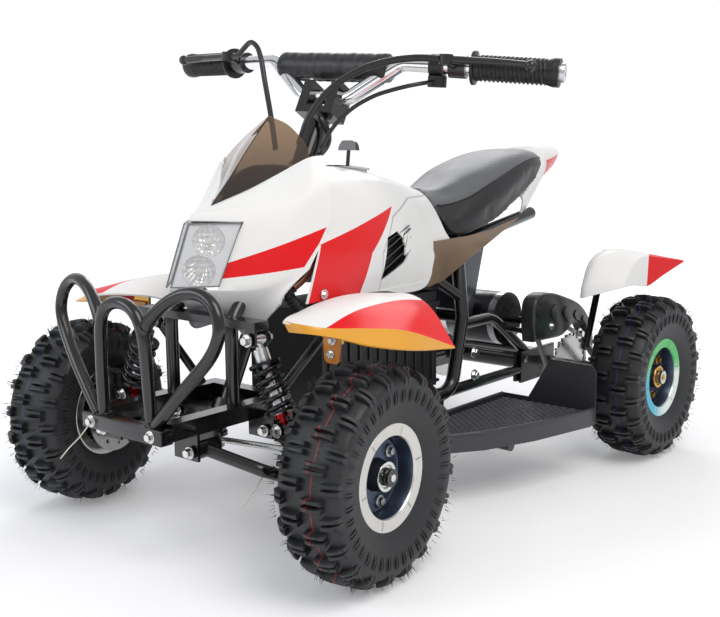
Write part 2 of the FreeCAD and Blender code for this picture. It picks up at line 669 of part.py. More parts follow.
crossbars.append(rod(vec(-loop_x + 2.0, saddle_y, saddle_z), vec(loop_x - 2.0, saddle_y, saddle_z), brace_tube))
saddle = block(motor_from + 20.0, motor_to - 20.0, saddle_y - 12.0, saddle_y + 10.0, saddle_z, saddle_z + 30.0)
saddle = saddle.cut(rod(vec(motor_from, motor_y, motor_z), vec(motor_to, motor_y, motor_z), motor_radius + fit_gap))
crossbars.append(saddle)
left_frame, left_only = side_frame()
frame_piece = head_tube.multiFuse(crossbars + left_frame + [other_side(s) for s in left_frame] + [left_only])
frame_piece = frame_piece.cut(rod(on_column(pitman_z), stem_top, stem_radius + fit_gap))
save("frame", frame_piece)

# Bumper: square cross-bar bolted to the rail ends, a centre hoop and two side hoops
cross_bar_half = 80.0
cross_bar_z = 180.0
cross_bar_size = 20.0
cross_bar_y = rail_front_y - cross_bar_size / 2
hoop_top = 346.0 - bumper_tube
hoop_half = 48.0
hoop_bend = 34.0
side_hoop_bend = 28.0
centre_hoop = tube([vec(hoop_half, cross_bar_y + 3.0, cross_bar_z), vec(hoop_half - 8.0, cross_bar_y - 2.0, hoop_top),
                    vec(-hoop_half + 8.0, cross_bar_y - 2.0, hoop_top), vec(-hoop_half, cross_bar_y + 3.0, cross_bar_z)],
                   bumper_tube, hoop_bend)
side_hoop = tube([vec(hoop_half + 2.0, cross_bar_y, cross_bar_z), vec(112, cross_bar_y + 7.0, 245), vec(158, cross_bar_y + 20.0, 312),
                  vec(122, cross_bar_y + 20.0, 358), vec(74, cross_bar_y + 8.0, 340), vec(hoop_half - 8.0, cross_bar_y - 1.0, 306)],
                 bumper_tube, 22.0)
cross_bar = block(-cross_bar_half, cross_bar_half, cross_bar_y - cross_bar_size / 2, cross_bar_y + cross_bar_size / 2,
                  cross_bar_z - cross_bar_size / 2, cross_bar_z + cross_bar_size / 2)
save("front_bumper", cross_bar.multiFuse([centre_hoop, side_hoop, other_side(side_hoop)]))


def offset_line(points, distance):
    """Half outline moved inward by distance, with mitred corners."""
    normals = []
    for (x0, z0), (x1, z1) in zip(points, points[1:]):
        length = math.hypot(x1 - x0, z1 - z0)
        normals.append(((z1 - z0) / length, -(x1 - x0) / length))
    moved = []
    for i, (x, z) in enumerate(points):
        a = normals[max(i - 1, 0)]
        b = normals[min(i, len(normals) - 1)]
        scale = distance / (1 + a[0] * b[0] + a[1] * b[1])
        moved.append((x + (a[0] + b[0]) * scale, z + (a[1] + b[1]) * scale))
    return moved


def station(y, half):
    """Closed section across the bike from a half outline that starts on the middle plane."""
    left = [vec(x, y, z) for x, z in half]
    right = [vec(-x, y, z) for x, z in reversed(half[1:])]
    return left + right


def hollow_cover(stations, wall, front_open, rear_open):
    """Cover open below: ruled outer skin less the same skin moved inward."""
    outer = ruled([station(y, half) for y, half in stations])
    inner = []
    last = len(stations) - 1
    for i, (y, half) in enumerate(stations):
        moved = offset_line(half, wall)
        moved[0] = (0, moved[0][1])
        foot_x, foot_z = moved[-1]
        moved[-1] = (foot_x, foot_z - 4 * wall)
        if i == 0:
            y = y - overrun if front_open else y + wall
        if i == last:
            y = y + overrun if rear_open else y - wall
        inner.append(station(y, moved))
    return outer.cut(ruled(inner))


# Body cover: tank top and side panels in one moulding
cover_wall = 3.0
cover_front = -266.0
cover_length = 312.0
cover_half = 120.0
cover_base = 316.0
cover_height = 187.0
cover_shares = (
    (0.00, ((0, 1.00), (0.50, 0.99), (0.86, 0.78), (1.00, 0.46), (0.94, 0.04))),
    (0.20, ((0, 0.99), (0.47, 0.98), (0.83, 0.75), (0.98, 0.43), (0.92, 0.01))),
    (0.40, ((0, 0.96), (0.42, 0.95), (0.76, 0.71), (0.93, 0.40), (0.87, 0.00))),
    (0.60, ((0, 0.91), (0.37, 0.90), (0.66, 0.65), (0.82, 0.37), (0.78, 0.08))),
    (0.80, ((0, 0.82), (0.33, 0.81), (0.58, 0.58), (0.70, 0.37), (0.68, 0.17))),
    (1.00, ((0, 0.73), (0.29, 0.72), (0.48, 0.54), (0.56, 0.41), (0.57, 0.31))),
)


def cover_stations(shares, front, length, half, base, height):
    return [(front + length * s, [(half * a, base + height * b) for a, b in points]) for s, points in shares]


cover = hollow_cover(cover_stations(cover_shares, cover_front, cover_length, cover_half, cover_base, cover_height),
                     cover_wall, True, True)
column_slot = block(-46, 46, cover_front - overrun, -148, cover_base + cover_height * 0.8, cover_base + cover_height + overrun)
dial_centre = vec(0, -95, 487)
dial_radius = 30.0
dial_bezel = 34.0
dial_depth = 14.0
dial_tilt = 7.0
cover = cover.cut(column_slot)
dial_hole = turned(Part.makeCylinder(dial_radius + fit_gap, dial_depth * 3, dial_centre - up * dial_depth * 2), dial_centre, vec(1, 0, 0), -dial_tilt)
cover = cover.cut(dial_hole)
save("body_cover", cover)

# Dial with its key standing in the middle
key_shaft = 3.0
key_height = 34.0
key_radius = 18.0
key_thickness = 8.0
key_grip_height = 15.0
dial = Part.makeCylinder(dial_radius, dial_depth, dial_centre - up * (dial_depth - 4.0))
bezel = Part.makeCylinder(dial_bezel, 3.0, dial_centre + up * 4.0)
key = Part.makeCylinder(key_shaft, key_height, dial_centre)
grip_disc = Part.makeCylinder(key_radius, key_thickness, dial_centre + vec(0, -key_thickness / 2, key_height - 2.0), vec(0, 1, 0))
keep = block(-key_radius, key_radius, dial_centre.y - key_thickness, dial_centre.y + key_thickness,
             dial_centre.z + key_height - 2.0, dial_centre.z + key_height - 2.0 + key_grip_height)
dial_piece = turned(fuse([dial, bezel, key, grip_disc.common(keep)]), dial_centre, vec(1, 0, 0), -dial_tilt)
save("dial", dial_piece)

# Nose: a wedge in plan, lofted through level outlines, open behind and cut off under the windscreen
nose_wall = 3.0
nose_front = -447.0
nose_depth = 190.0
nose_half = 122.0
nose_base = 284.0
nose_height = 256.0
nose_shares = (
    (0.00, ((0.00, 0.56), (0.05, 0.59), (0.10, 0.64))),
    (0.14, ((0.00, 0.27), (0.31, 0.50), (0.80, 0.80))),
    (0.24, ((0.00, 0.00), (0.37, 0.23), (0.92, 0.86))),
    (0.58, ((0.00, 0.20), (0.41, 0.46), (1.00, 0.93))),
    (0.74, ((0.00, 0.60), (0.40, 0.72), (0.93, 0.93))),
    (1.00, ((0.00, 0.86), (0.38, 0.90), (0.74, 0.93))),
)


def level(z, points, rear):
    """Closed outline at height z: wedge in front, straight behind."""
    left = [vec(x, y, z) for x, y in points] + [vec(points[-1][0], rear, z)]
    right = [vec(-p.x, p.y, p.z) for p in reversed(left[1:])]
    return left + right


def nose_levels(wall):
    levels = []
    for s, points in nose_shares:
        z = nose_base + nose_height * s
        line = [(nose_half * a, nose_front + nose_depth * b) for a, b in points]
        if wall:
            line = [(max(x - wall, 0), y + wall * 1.4) for x, y in line]
            line[0] = (0, line[0][1] + wall * 0.6)
            z = z + wall if s == 0 else z
            z = z + overrun if s == 1 else z
        levels.append(level(z, line, nose_front + nose_depth * 0.95 + (overrun if wall else 0)))
    return levels


boss = rod(vec(30, tower_y, tower_bar_z + tower_bar / 2 + fit_gap), vec(30, tower_y, 356), 7.0)
nose = ruled(nose_levels(0)).cut(ruled(nose_levels(nose_wall))).multiFuse([boss, other_side(boss)])
screen_tip = vec(0, -353, 452)
screen_corner = vec(80, -262, 512)
top_cut = flat([vec(-200, screen_tip.y - 100.0, screen_tip.z - 66.0), vec(200, screen_tip.y - 100.0, screen_tip.z - 66.0),
                vec(200, screen_tip.y + 200.0, screen_tip.z + 132.0), vec(-200, screen_tip.y + 200.0, screen_tip.z + 132.0)])
top_cut = top_cut.extrude(vec(0, -100, 200))
lamp_depth = 26.0
lamp_corner = vec(4, -413, 429)
lamp_across = vec(45, 46, 0)
lamp_down = vec(0, -34, -81)
lamp_taper_share = 0.9
lamp_face = [lamp_corner, lamp_corner + lamp_across, lamp_corner + lamp_down + lamp_across * lamp_taper_share,
             lamp_corner + lamp_down]
lamp_normal = lamp_down.cross(lamp_across).normalize()
lamp_block = flat(lamp_face).extrude(lamp_normal * -lamp_depth)
lamp_hole = flat([p + lamp_normal * overrun * 3 for p in lamp_face]).extrude(lamp_normal * -(lamp_depth + overrun * 4))
lamps = Part.makeCompound([lamp_block, other_side(lamp_block)])
nose = nose.cut(top_cut).cut(Part.makeCompound([lamp_hole, other_side(lamp_hole)]))
down_gap = 8.0
down_hole = rod(vec(head_radius - 4.0, head_foot.y + 22.0, head_foot.z + 44.0), vec(tower_x, tower_y, tower_bar_z), brace_tube + down_gap)
column_hole = rod(on_column(pitman_z), on_column(clamp_z), stem_radius + down_gap)
nose = nose.cut(Part.makeCompound([down_hole, other_side(down_hole), column_hole]))
save("front_cowl", nose)
save("headlamps", lamps)

# Windscreen: a pointed smoked shell that stands on the cut edge of the nose
screen_wall = 3.0
screen_shares = (
    (0.00, 0.03, 0.00, 0.02),
    (0.38, 0.42, 0.38, 0.46),
    (0.72, 0.78, 0.72, 0.86),
    (1.00, 1.00, 1.00, 0.98),
)
screen_length = screen_corner.y - screen_tip.y
screen_rise = screen_corner.z - screen_tip.z
screen_crown = 56.0
screen_lift = 0.4


def screen_stations(wall):
    stations = []
    for s, wide, low, high in screen_shares:
        half = screen_corner.x * wide
        foot = screen_tip.z + screen_rise * low + screen_lift
        crown = foot + screen_crown * high
        side = [(0, crown), (half * 0.45, crown - (crown - foot) * 0.18), (half * 0.85, foot + (crown - foot) * 0.42), (half, foot)]
        y = screen_tip.y + screen_length * s
        if wall:
            keep = 1 - min(wall / half, 0.5)
            side = [(x * keep, z - wall) for x, z in side]
            y = y + (overrun if s == 1 else 3 * wall if s == 0 else 0)
        stations.append(station(y, side))
    return stations


screen = ruled(screen_stations(0))
screen_core = ruled(screen_stations(screen_wall))
save("windscreen", screen.cut(screen_core))

# Seat: one upholstered saddle with an upturned nose
seat_shares = (
    (0.00, ((0, 0.57), (0.20, 0.56), (0.30, 0.52), (0.30, 0.47))),
    (0.09, ((0, 0.53), (0.55, 0.50), (0.76, 0.36), (0.80, 0.10))),
    (0.22, ((0, 0.57), (0.66, 0.54), (0.93, 0.38), (0.94, 0.00))),
    (0.45, ((0, 0.80), (0.72, 0.77), (0.98, 0.62), (1.00, 0.14))),
    (0.70, ((0, 0.96), (0.72, 0.93), (0.95, 0.80), (0.98, 0.36))),
    (0.90, ((0, 1.00), (0.62, 0.97), (0.82, 0.86), (0.84, 0.60))),
    (1.00, ((0, 0.96), (0.50, 0.94), (0.66, 0.86), (0.66, 0.74))),
)
seat_front = 53.0
seat_length = 297.0
seat_half = 86.0
seat_base = 384.0
seat_height = 134.0
seat = ruled([station(y, half) for y, half in cover_stations(seat_shares, seat_front, seat_length, seat_half, seat_base, seat_height)])
save("seat", seat)

# Panel below the seat: two side cheeks and the tapered box between them
cheek_x = 87.0
cheek_wall = 3.0
cheek_points = [(-12, 308), (7, 378), (100, 380), (170, 386), (252, 400), (97, 340), (30, 314)]
cheek = flat([vec(cheek_x, y, z) for y, z in cheek_points]).extrude(vec(cheek_wall, 0, 0))
core_half = 44.0
core_points = [(112, 352), (120, 378), (226, 394), (178, 236), (126, 252)]
core = flat([vec(-core_half, y, z) for y, z in core_points]).extrude(vec(core_half * 2, 0, 0))
tie = block(-cheek_x, cheek_x, 52, 60, 366, 372)
tie_back = block(-cheek_x, cheek_x, 130, 142, 350, 359)
save("under_panel", fuse([core, cheek, other_side(cheek), tie, tie_back]))

# Tail: tray under the seat and the pointed tail behind it
tail_shares = (
    (0.00, ((0, 0.26), (0.86, 0.26), (1.00, 0.12), (0.96, 0.016))),
    (0.30, ((0, 0.62), (0.80, 0.62), (0.92, 0.54), (0.78, 0.43))),
    (0.46, ((0, 0.68), (0.62, 0.68), (0.72, 0.62), (0.58, 0.52))),
)
tail_back_shares = (
    (0.40, ((0, 0.95), (0.48, 0.94), (0.72, 0.86), (0.60, 0.46))),
    (0.62, ((0, 0.98), (0.42, 0.97), (0.60, 0.88), (0.44, 0.58))),
    (0.80, ((0, 1.00), (0.28, 0.98), (0.40, 0.92), (0.30, 0.74))),
    (1.00, ((0, 1.00), (0.05, 0.99), (0.07, 0.98), (0.05, 0.95))),
)
tail_front = 232.0
tail_length = 303.0
tail_half = 82.0
tail_base = 395.0
tail_height = 122.0
tray = ruled([station(y, half) for y, half in cover_stations(tail_shares, tail_front, tail_length, tail_half, tail_base, tail_height)])
tail = ruled([station(y, half) for y, half in cover_stations(tail_back_shares, tail_front, tail_length, tail_half, tail_base, tail_height)])
tail_piece = fuse([tray, tail]).cut(Part.makeCompound([seat.translated(vec(0, 0, -fit_gap)), frame_piece]))
save("tail_cowl", tail_piece)


def fender(sections, wall):
    """Sheet lofted across the bike: each section is a line from front to back at one distance from the middle."""
    loops = []
    for x, line in sections:
        top = [vec(x, y, z) for y, z in line]
        loops.append(top + [vec(x, y, z - wall) for y, z in reversed(line)])
    return ruled(loops)


front_fender = fender([
    (122, ((-374, 307), (-330, 318), (-262, 325), (-224, 318))),
    (200, ((-404, 313), (-345, 330), (-262, 333), (-214, 322))),
    (270, ((-406, 305), (-350, 322), (-262, 320), (-216, 300))),
    (318, ((-390, 293), (-350, 303), (-290, 300), (-256, 280))),
], sheet)
rear_fender = fender([
    (205, ((214, 282), (250, 331), (350, 349), (430, 337))),
    (265, ((206, 277), (245, 333), (360, 352), (450, 331))),
    (328, ((238, 292), (262, 312), (370, 326), (446, 327))),
], sheet)
for side_name, is_left in (("left", True), ("right", False)):
    save("front_fender_" + side_name, front_fender if is_left else other_side(front_fender))
    save("rear_fender_" + side_name, rear_fender if is_left else other_side(rear_fender))

# Fender brackets: a flat orange plate below each front fender
plate_from = 172.0
plate_to = 206.0
plate_y = -345.0
plate_thick = 4.0
plate_low = 283.0
bracket = block(plate_from, plate_to, plate_y, plate_y + plate_thick, plate_low, 340.0).cut(front_fender)
bracket = sorted(bracket.Solids, key=lambda s: s.BoundBox.ZMin)[0].cut(frame_piece)
save("fender_brackets", Part.makeCompound([bracket, other_side(bracket)]))

# Footrests: moulded trays with a raised rim and a heel guard
step_top = 112.0
step_floor = 93.0
step_wall = 4.0
step_points = [(117, -115), (196, -115), (232, -62), (264, 24), (290, 142), (290, 166), (117, 166)]
outline = flat([vec(x, y, step_bottom) for x, y in step_points])
step = outline.extrude(vec(0, 0, step_top - step_bottom))
well = Part.Face(Part.Wire(outline.OuterWire.makeOffset2D(-step_wall).Edges)).extrude(vec(0, 0, step_top))
well.translate(vec(0, 0, step_floor - step_bottom))
guard_points = [(168, step_bottom), (168, step_top), (208, 180), (282, 180), (290, 168), (290, step_bottom)]
heel = flat([vec(x, 162, z) for x, z in guard_points]).extrude(vec(0, step_wall, 0))
step = fuse([step.cut(well), heel])
for side_name, is_left in (("left", True), ("right", False)):
    save("footrest_" + side_name, step if is_left else other_side(step))

# Battery box, motor, chain guard, chain and axle carrier
box_half = 72.0
save("battery_box", block(-box_half, box_half, -236, 36, loop_z + brace_tube + fit_gap, 296))

motor_shaft = 6.0
small_radius = 17.0
motor = fuse([rod(vec(motor_from, motor_y, motor_z), vec(motor_to, motor_y, motor_z), motor_radius),
              rod(vec(motor_to, motor_y, motor_z), vec(sprocket_x + sprocket_thickness + 3.0, motor_y, motor_z), motor_shaft),
              rod(vec(sprocket_x, motor_y, motor_z), vec(sprocket_x + sprocket_thickness, motor_y, motor_z), small_radius - fit_gap)])
save("motor", motor)

guard_to = 158.0
guard_wall = 3.0
guard_line = [(200, 196), (196, 268), (232, 276), (300, 262), (352, 246), (392, 210), (406, 170), (404, 152), (392, 152),
              (378, 190), (350, 214), (318, 206), (292, 194)]
guard = flat([vec(guard_from, y, z) for y, z in guard_line]).extrude(vec(guard_to - guard_from, 0, 0))
inner_line = [(203, 180), (199, 265), (232, 273), (299, 259), (350, 243), (389, 208), (403, 170), (401, 140), (388, 140),
              (375, 178), (350, 204), (318, 196), (290, 180)]
guard_core = flat([vec(guard_from - overrun, y, z) for y, z in inner_line]).extrude(vec(guard_to - guard_from - guard_wall + overrun, 0, 0))
save("chain_guard", guard.cut(guard_core))

chain_width = 6.0
chain_plate = 7.0
big_radius = sprocket_radius + fit_gap


def chain_loop(grow):
    """Belt outline round both sprockets, as a solid of the chain's width."""
    dy = rear_axle_y - motor_y
    dz = axle_z - motor_z
    span = math.hypot(dy, dz)
    lean = math.atan2(dz, dy)
    open_angle = math.acos((small_radius - big_radius) / span)
    r0 = small_radius + grow
    r1 = big_radius + grow

    def at(cy, cz, radius, angle):
        return vec(sprocket_x - 1.0, cy + radius * math.cos(angle), cz + radius * math.sin(angle))
    a = lean + open_angle
    b = lean - open_angle
    edges = [Part.LineSegment(at(motor_y, motor_z, r0, a), at(rear_axle_y, axle_z, r1, a)).toShape(),
             Part.Arc(at(rear_axle_y, axle_z, r1, a), at(rear_axle_y, axle_z, r1, lean), at(rear_axle_y, axle_z, r1, b)).toShape(),
             Part.LineSegment(at(rear_axle_y, axle_z, r1, b), at(motor_y, motor_z, r0, b)).toShape(),
             Part.Arc(at(motor_y, motor_z, r0, b), at(motor_y, motor_z, r0, lean + math.pi), at(motor_y, motor_z, r0, a)).toShape()]
    return Part.Face(Part.Wire(edges)).extrude(vec(chain_width, 0, 0))


save("chain", chain_loop(chain_plate).cut(chain_loop(0)))

housing_radius = 22.0
housing_half = 96.0
housing = pipe_between(vec(-housing_half - carrier_plate, rear_axle_y, axle_z), vec(housing_half + carrier_plate, rear_axle_y, axle_z),
                       housing_radius, shaft_radius + running_gap)
carrier_side = block(loop_x + 1.0, loop_x + 1.0 + carrier_plate, rear_plate_y + 8.0, rear_axle_y + 26.0, axle_z - 26.0, axle_z + 30.0)
stay_y = 412.0
strut = tube([vec(loop_x + 5.0, rear_axle_y + 18.0, 122), vec(loop_x + 12.0, stay_y, 122), vec(170, stay_y, 122), vec(172, 352, 172), vec(214, 336, 352)],
             6.0, 12.0)
strut = strut.cut(rear_fender).Solids
strut = sorted(strut, key=lambda s: s.BoundBox.ZMin)[0]
bore = rod(vec(-200, rear_axle_y, axle_z), vec(200, rear_axle_y, axle_z), shaft_radius + running_gap)
carrier = fuse([housing, carrier_side, other_side(carrier_side), strut, other_side(strut)]).cut(bore)
save("axle_carrier", carrier.cut(frame_piece))
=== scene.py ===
import math
import bmesh
import bpy
import numpy as np
from mathutils import Matrix, Vector
from mathutils.bvhtree import BVHTree


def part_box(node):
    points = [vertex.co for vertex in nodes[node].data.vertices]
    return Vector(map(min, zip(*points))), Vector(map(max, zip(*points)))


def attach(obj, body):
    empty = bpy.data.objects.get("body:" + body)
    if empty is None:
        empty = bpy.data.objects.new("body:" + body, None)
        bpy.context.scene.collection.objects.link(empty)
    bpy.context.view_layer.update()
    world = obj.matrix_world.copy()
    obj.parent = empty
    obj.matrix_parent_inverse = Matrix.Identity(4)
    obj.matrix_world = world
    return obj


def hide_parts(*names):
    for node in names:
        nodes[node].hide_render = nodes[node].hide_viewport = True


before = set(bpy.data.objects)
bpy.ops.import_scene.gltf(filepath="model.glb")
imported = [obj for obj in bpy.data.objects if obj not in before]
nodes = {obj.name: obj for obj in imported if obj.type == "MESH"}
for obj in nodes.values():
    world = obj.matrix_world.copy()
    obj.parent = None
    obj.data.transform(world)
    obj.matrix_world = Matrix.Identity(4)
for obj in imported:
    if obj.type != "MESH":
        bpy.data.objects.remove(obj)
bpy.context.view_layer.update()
MM = 0.001


# Camera and studio
# A white sweep of painted board under soft boxes, glowing with painted light that is dim near the bike and
# brighter further out. The camera stands ahead of the bike's left front wheel, a little above the seat, with a
# short telephoto lens.
def unit(v):
    return v / np.linalg.norm(v)


def stand(name, data, at, right, up, ahead):
    """Links a camera or lamp into the scene, at a point and looking ahead."""
    made = bpy.data.objects.new(name, data)
    bpy.context.scene.collection.objects.link(made)
    made.matrix_world = Matrix.Translation(at) @ Matrix((right, up, -ahead)).transposed().to_4x4()
    return made


camera_at = np.array([1040.97, -1287.59, 527.02]) * MM
look_at = np.array([-41.03, -20.0, 263.31]) * MM
camera_roll = -0.010
photo_width_px = 720
photo_focal_px = 1033.7
forward = unit(look_at - camera_at)
side = unit(np.cross(forward, [0, 0, 1]))
above = np.cross(side, forward)
right = math.cos(camera_roll) * side + math.sin(camera_roll) * above
up = -math.sin(camera_roll) * side + math.cos(camera_roll) * above
camera_data = bpy.data.cameras.new("camera")
camera_data.sensor_width = 36.0
camera_data.lens = camera_data.sensor_width * photo_focal_px / photo_width_px
bpy.context.scene.camera = stand("camera", camera_data, camera_at, right, up, forward)
bpy.context.scene.view_settings.view_transform = "Standard"


def colour(code, alpha=1.0):
    """Linear red, green, blue and alpha from an sRGB hex code."""
    parts = [int(code[i:i + 2], 16) / 255 for i in (0, 2, 4)]
    return [p / 12.92 if p <= 0.04045 else ((p + 0.055) / 1.055) ** 2.4 for p in parts] + [alpha]


def add(tree, kind, given=None):
    """Adds a shader node: links given nodes and sockets, sets other values on inputs or attributes."""
    made = tree.nodes.new("ShaderNode" + kind)
    for key, value in (given or {}).items():
        if isinstance(value, bpy.types.Node):
            value = value.outputs[0]
        if isinstance(value, bpy.types.NodeSocket):
            tree.links.new(value, made.inputs[key])
        elif isinstance(key, int) or key in made.inputs:
            made.inputs[key].default_value = value
        else:
            setattr(made, key, value)
    return made


def calc(tree, operation, *given):
    return add(tree, "Math", {"operation": operation, **dict(enumerate(given))})


def vector_calc(tree, operation, *given):
    return add(tree, "VectorMath", {"operation": operation, **dict(enumerate(given))})


def spread(tree, value, to_low, to_high, from_low=0.0, from_high=1.0):
    return add(tree, "MapRange", {0: value, 1: from_low, 2: from_high, 3: to_low, 4: to_high})


def blend(tree, share, low, high):
    """Mix of two colours, each a hex code, four numbers or a node."""
    low, high = (colour(c) if isinstance(c, str) else c for c in (low, high))
    return add(tree, "MixRGB", {0: share, 1: low, 2: high})


def blank(name):
    """New material: its tree, cleared but for the output, and the socket of object coordinates."""
    made = bpy.data.materials.new(name)
    made.use_nodes = True
    tree = made.node_tree
    tree.nodes.clear()
    tree.nodes.new("ShaderNodeOutputMaterial")
    return made, tree, add(tree, "TexCoord").outputs["Object"]


def surface(tree, shader):
    """Joins a shader to the output of its tree."""
    tree.links.new(shader.outputs[0], tree.nodes["Material Output"].inputs[0])


def new_mesh(name, points, faces, smooth=True):
    """Mesh object from an (n, 3) array of metres and a list or array of faces."""
    mesh = bpy.data.meshes.new(name)
    points = np.asarray(points, float).reshape(-1, 3)
    mesh.from_pydata(points.tolist(), [], [list(map(int, f)) for f in faces])
    mesh.polygons.foreach_set("use_smooth", np.full(len(mesh.polygons), smooth))
    mesh.update()
    made = bpy.data.objects.new(name, mesh)
    bpy.context.scene.collection.objects.link(made)
    return made


def grid_faces(rows, cols, close_rows=False, close_cols=False):
    """Quads of a rows by cols grid of points, joined end to end where asked."""
    r = np.arange(rows if close_rows else rows - 1)
    c = np.arange(cols if close_cols else cols - 1)
    r, c = np.meshgrid(r, c, indexing="ij")
    r2 = (r + 1) % rows
    c2 = (c + 1) % cols
    return np.stack([r * cols + c, r * cols + c2, r2 * cols + c2, r2 * cols + c], -1).reshape(-1, 4)


backdrop, tree, spot = blank("white board with painted glow")
ray = add(tree, "LightPath").outputs
seen = calc(tree, "MAXIMUM", ray["Is Camera Ray"], ray["Is Glossy Ray"])
seen = calc(tree, "MAXIMUM", seen, ray["Is Transmission Ray"])
# Painted light: the board glows only for the camera, in reflections and through glass. The glow is dimmer near
# the bike and brighter further out, as painted shade round the bike and painted light beyond.
far = vector_calc(tree, "LENGTH", spot).outputs["Value"]
painted_glow = add(tree, "Emission", {"Color": colour("fbfbfc"), "Strength": spread(tree, far, 0.2, 0.58, 0.5, 2.6)})
lit = add(tree, "MixShader", {0: seen, 1: add(tree, "Emission", {"Strength": 0.0}), 2: painted_glow})
surface(tree, add(tree, "AddShader", {0: add(tree, "BsdfDiffuse", {"Color": colour("f1f2f5")}), 1: lit}))

# Board: a floor that curves up into a wall behind, worked out as a flat run, a quarter arc and a rise
sweep_half = 7.0
sweep_flat = sweep_half * 0.6
sweep_bend = 2.5
arc = np.linspace(-math.pi / 2, 0, 24)
bend = np.stack([sweep_flat + sweep_bend * np.cos(arc), sweep_bend + sweep_bend * np.sin(arc)], 1)
line = np.concatenate([[[-sweep_half, 0.0]], bend, [[sweep_flat + sweep_bend, sweep_half]]])
behind = unit(forward[:2])
across = np.array([behind[1], -behind[0]])
points = np.array([[*(behind * d + across * w), z] for w in (-sweep_half, sweep_half) for d, z in line])
floor = new_mesh("floor", points, grid_faces(2, len(line)))
floor.data.materials.append(backdrop)

world = bpy.data.worlds.new("studio")
bpy.context.scene.world = world
world.use_nodes = True
sky_tree = world.node_tree
sky = sky_tree.nodes["Background"]
sky.inputs[0].default_value = colour("f8f9fb")
ray = add(sky_tree, "LightPath").outputs
through = calc(sky_tree, "MAXIMUM", ray["Is Camera Ray"], ray["Is Transmission Ray"])
shown = spread(sky_tree, through, 0.55, 0.98)
bounced = calc(sky_tree, "MULTIPLY_ADD", ray["Is Glossy Ray"], 0.12, shown)
sky_tree.links.new(bounced.outputs[0], sky.inputs[1])

for name, at, target, size, watts, tint in (
        ("key", (1.6, -0.6, 2.3), (0, 0, 0.3), (1.6, 1.6), 34.0, "fffaf4"),
        ("fill", (-1.2, -2.4, 1.5), (0, -0.1, 0.3), (1.8, 1.2), 18.0, "f2f6ff"),
        ("back", (-1.4, 2.2, 2.2), (0, 0.2, 0.3), (1.6, 1.0), 24.0, "ffffff")):
    lamp_data = bpy.data.lights.new(name, "AREA")
    lamp_data.shape = "RECTANGLE"
    lamp_data.size, lamp_data.size_y = size
    lamp_data.energy = watts
    lamp_data.color = colour(tint)[:3]
    aim = unit(np.array(target, float) - np.array(at, float))
    level = unit(np.cross(aim, [0, 0, 1]))
    stand(name, lamp_data, at, level, np.cross(level, aim), aim)

# Tyres
# Low-pressure knobby tyres of black rubber, moulded whole. The carcass is a turned profile; split bars in
# staggered rows, short shoulder blocks and thin side fins stand on it, and the mould leaves vent hairs.
tyre_radius = 136 * MM
tyre_half = 47 * MM
pitches = 20
crown_drop = 0.105
crown_power = 3.2
rooted = 1.5 * MM
line_at_mm = 10.5
line_half_mm = 0.8
carcass_line = np.array([[33.3, 64.9], [35.5, 68.0], [40.0, 78.0], [45.0, 94.0], [46.2, 107.0], [43.0, 118.0],
                         [31.0, 123.5], [15.0, 125.3], [0.0, 126.0]]) * MM


def smooth_line(points, steps):
    """Points of a Catmull-Rom curve: each span is a cubic blend of its four neighbours."""
    points = np.asarray(points, float)
    p = np.concatenate([points[:1] * 2 - points[1:2], points, points[-1:] * 2 - points[-2:-1]])
    t = np.linspace(0, 1, steps, endpoint=False)[:, None, None]
    a, b, c, d = p[:-3], p[1:-2], p[2:-1], p[3:]
    square = 2 * a - 5 * b + 4 * c - d
    cube = 3 * b - a - 3 * c + d
    curve = 0.5 * (2 * b + (c - a) * t + square * t ** 2 + cube * t ** 3)
    return np.concatenate([curve.transpose(1, 0, 2).reshape(-1, points.shape[1]), points[-1:]])


def turns(count):
    """Angles in equal steps round a full circle."""
    return np.linspace(0, 2 * math.pi, count, endpoint=False)


def on_axle(x, r, phi):
    """Points at a place on the axle, a radius from it and an angle from the top."""
    x, r, phi = np.broadcast_arrays(x, r, phi)
    return np.stack([x, r * np.sin(phi), r * np.cos(phi)], -1)


def turned_part(profile, steps, centre=(0, 0)):
    """Points and faces of a profile of (place, radius) spun round the axle, or round a line at (y, z)."""
    profile = np.asarray(profile, float)
    grid = on_axle(profile[:, 0], profile[:, 1], turns(steps)[:, None]) + [0, *centre]
    return grid, grid_faces(steps, len(profile), close_rows=True)


def joined(parts):
    """One list of points and one of faces from several (points, faces) pairs."""
    points, faces, count = [], [], 0
    for p, f in parts:
        p = np.asarray(p, float).reshape(-1, 3)
        points.append(p)
        faces += [[int(i) + count for i in face] for face in f]
        count += len(p)
    return np.concatenate(points), faces


def tube_faces(rows, cols):
    """Faces of a closed bar: a grid of rings with a cap on its first and its last ring."""
    faces = [list(f) for f in grid_faces(rows, cols, close_cols=True)]
    return faces + [list(range(cols))[::-1], [(rows - 1) * cols + k for k in range(cols)]]


def lug_part(grid):
    """Points and faces of many closed bars, from an array of bars by rings by corners."""
    count, steps, ring = grid.shape[:3]
    return grid, [[i + k * steps * ring for i in f] for k in range(count) for f in tube_faces(steps, ring)]


lug = np.array([[-1.0, 0.0], [-1.0, 0.84], [-0.72, 1.0], [0.72, 1.0], [1.0, 0.84], [1.0, 0.0]])
half_line = smooth_line(carcass_line, 6)
crown = half_line[half_line[:, 1] > 107 * MM]
crown_x, crown_r = crown[np.argsort(crown[:, 0])].T


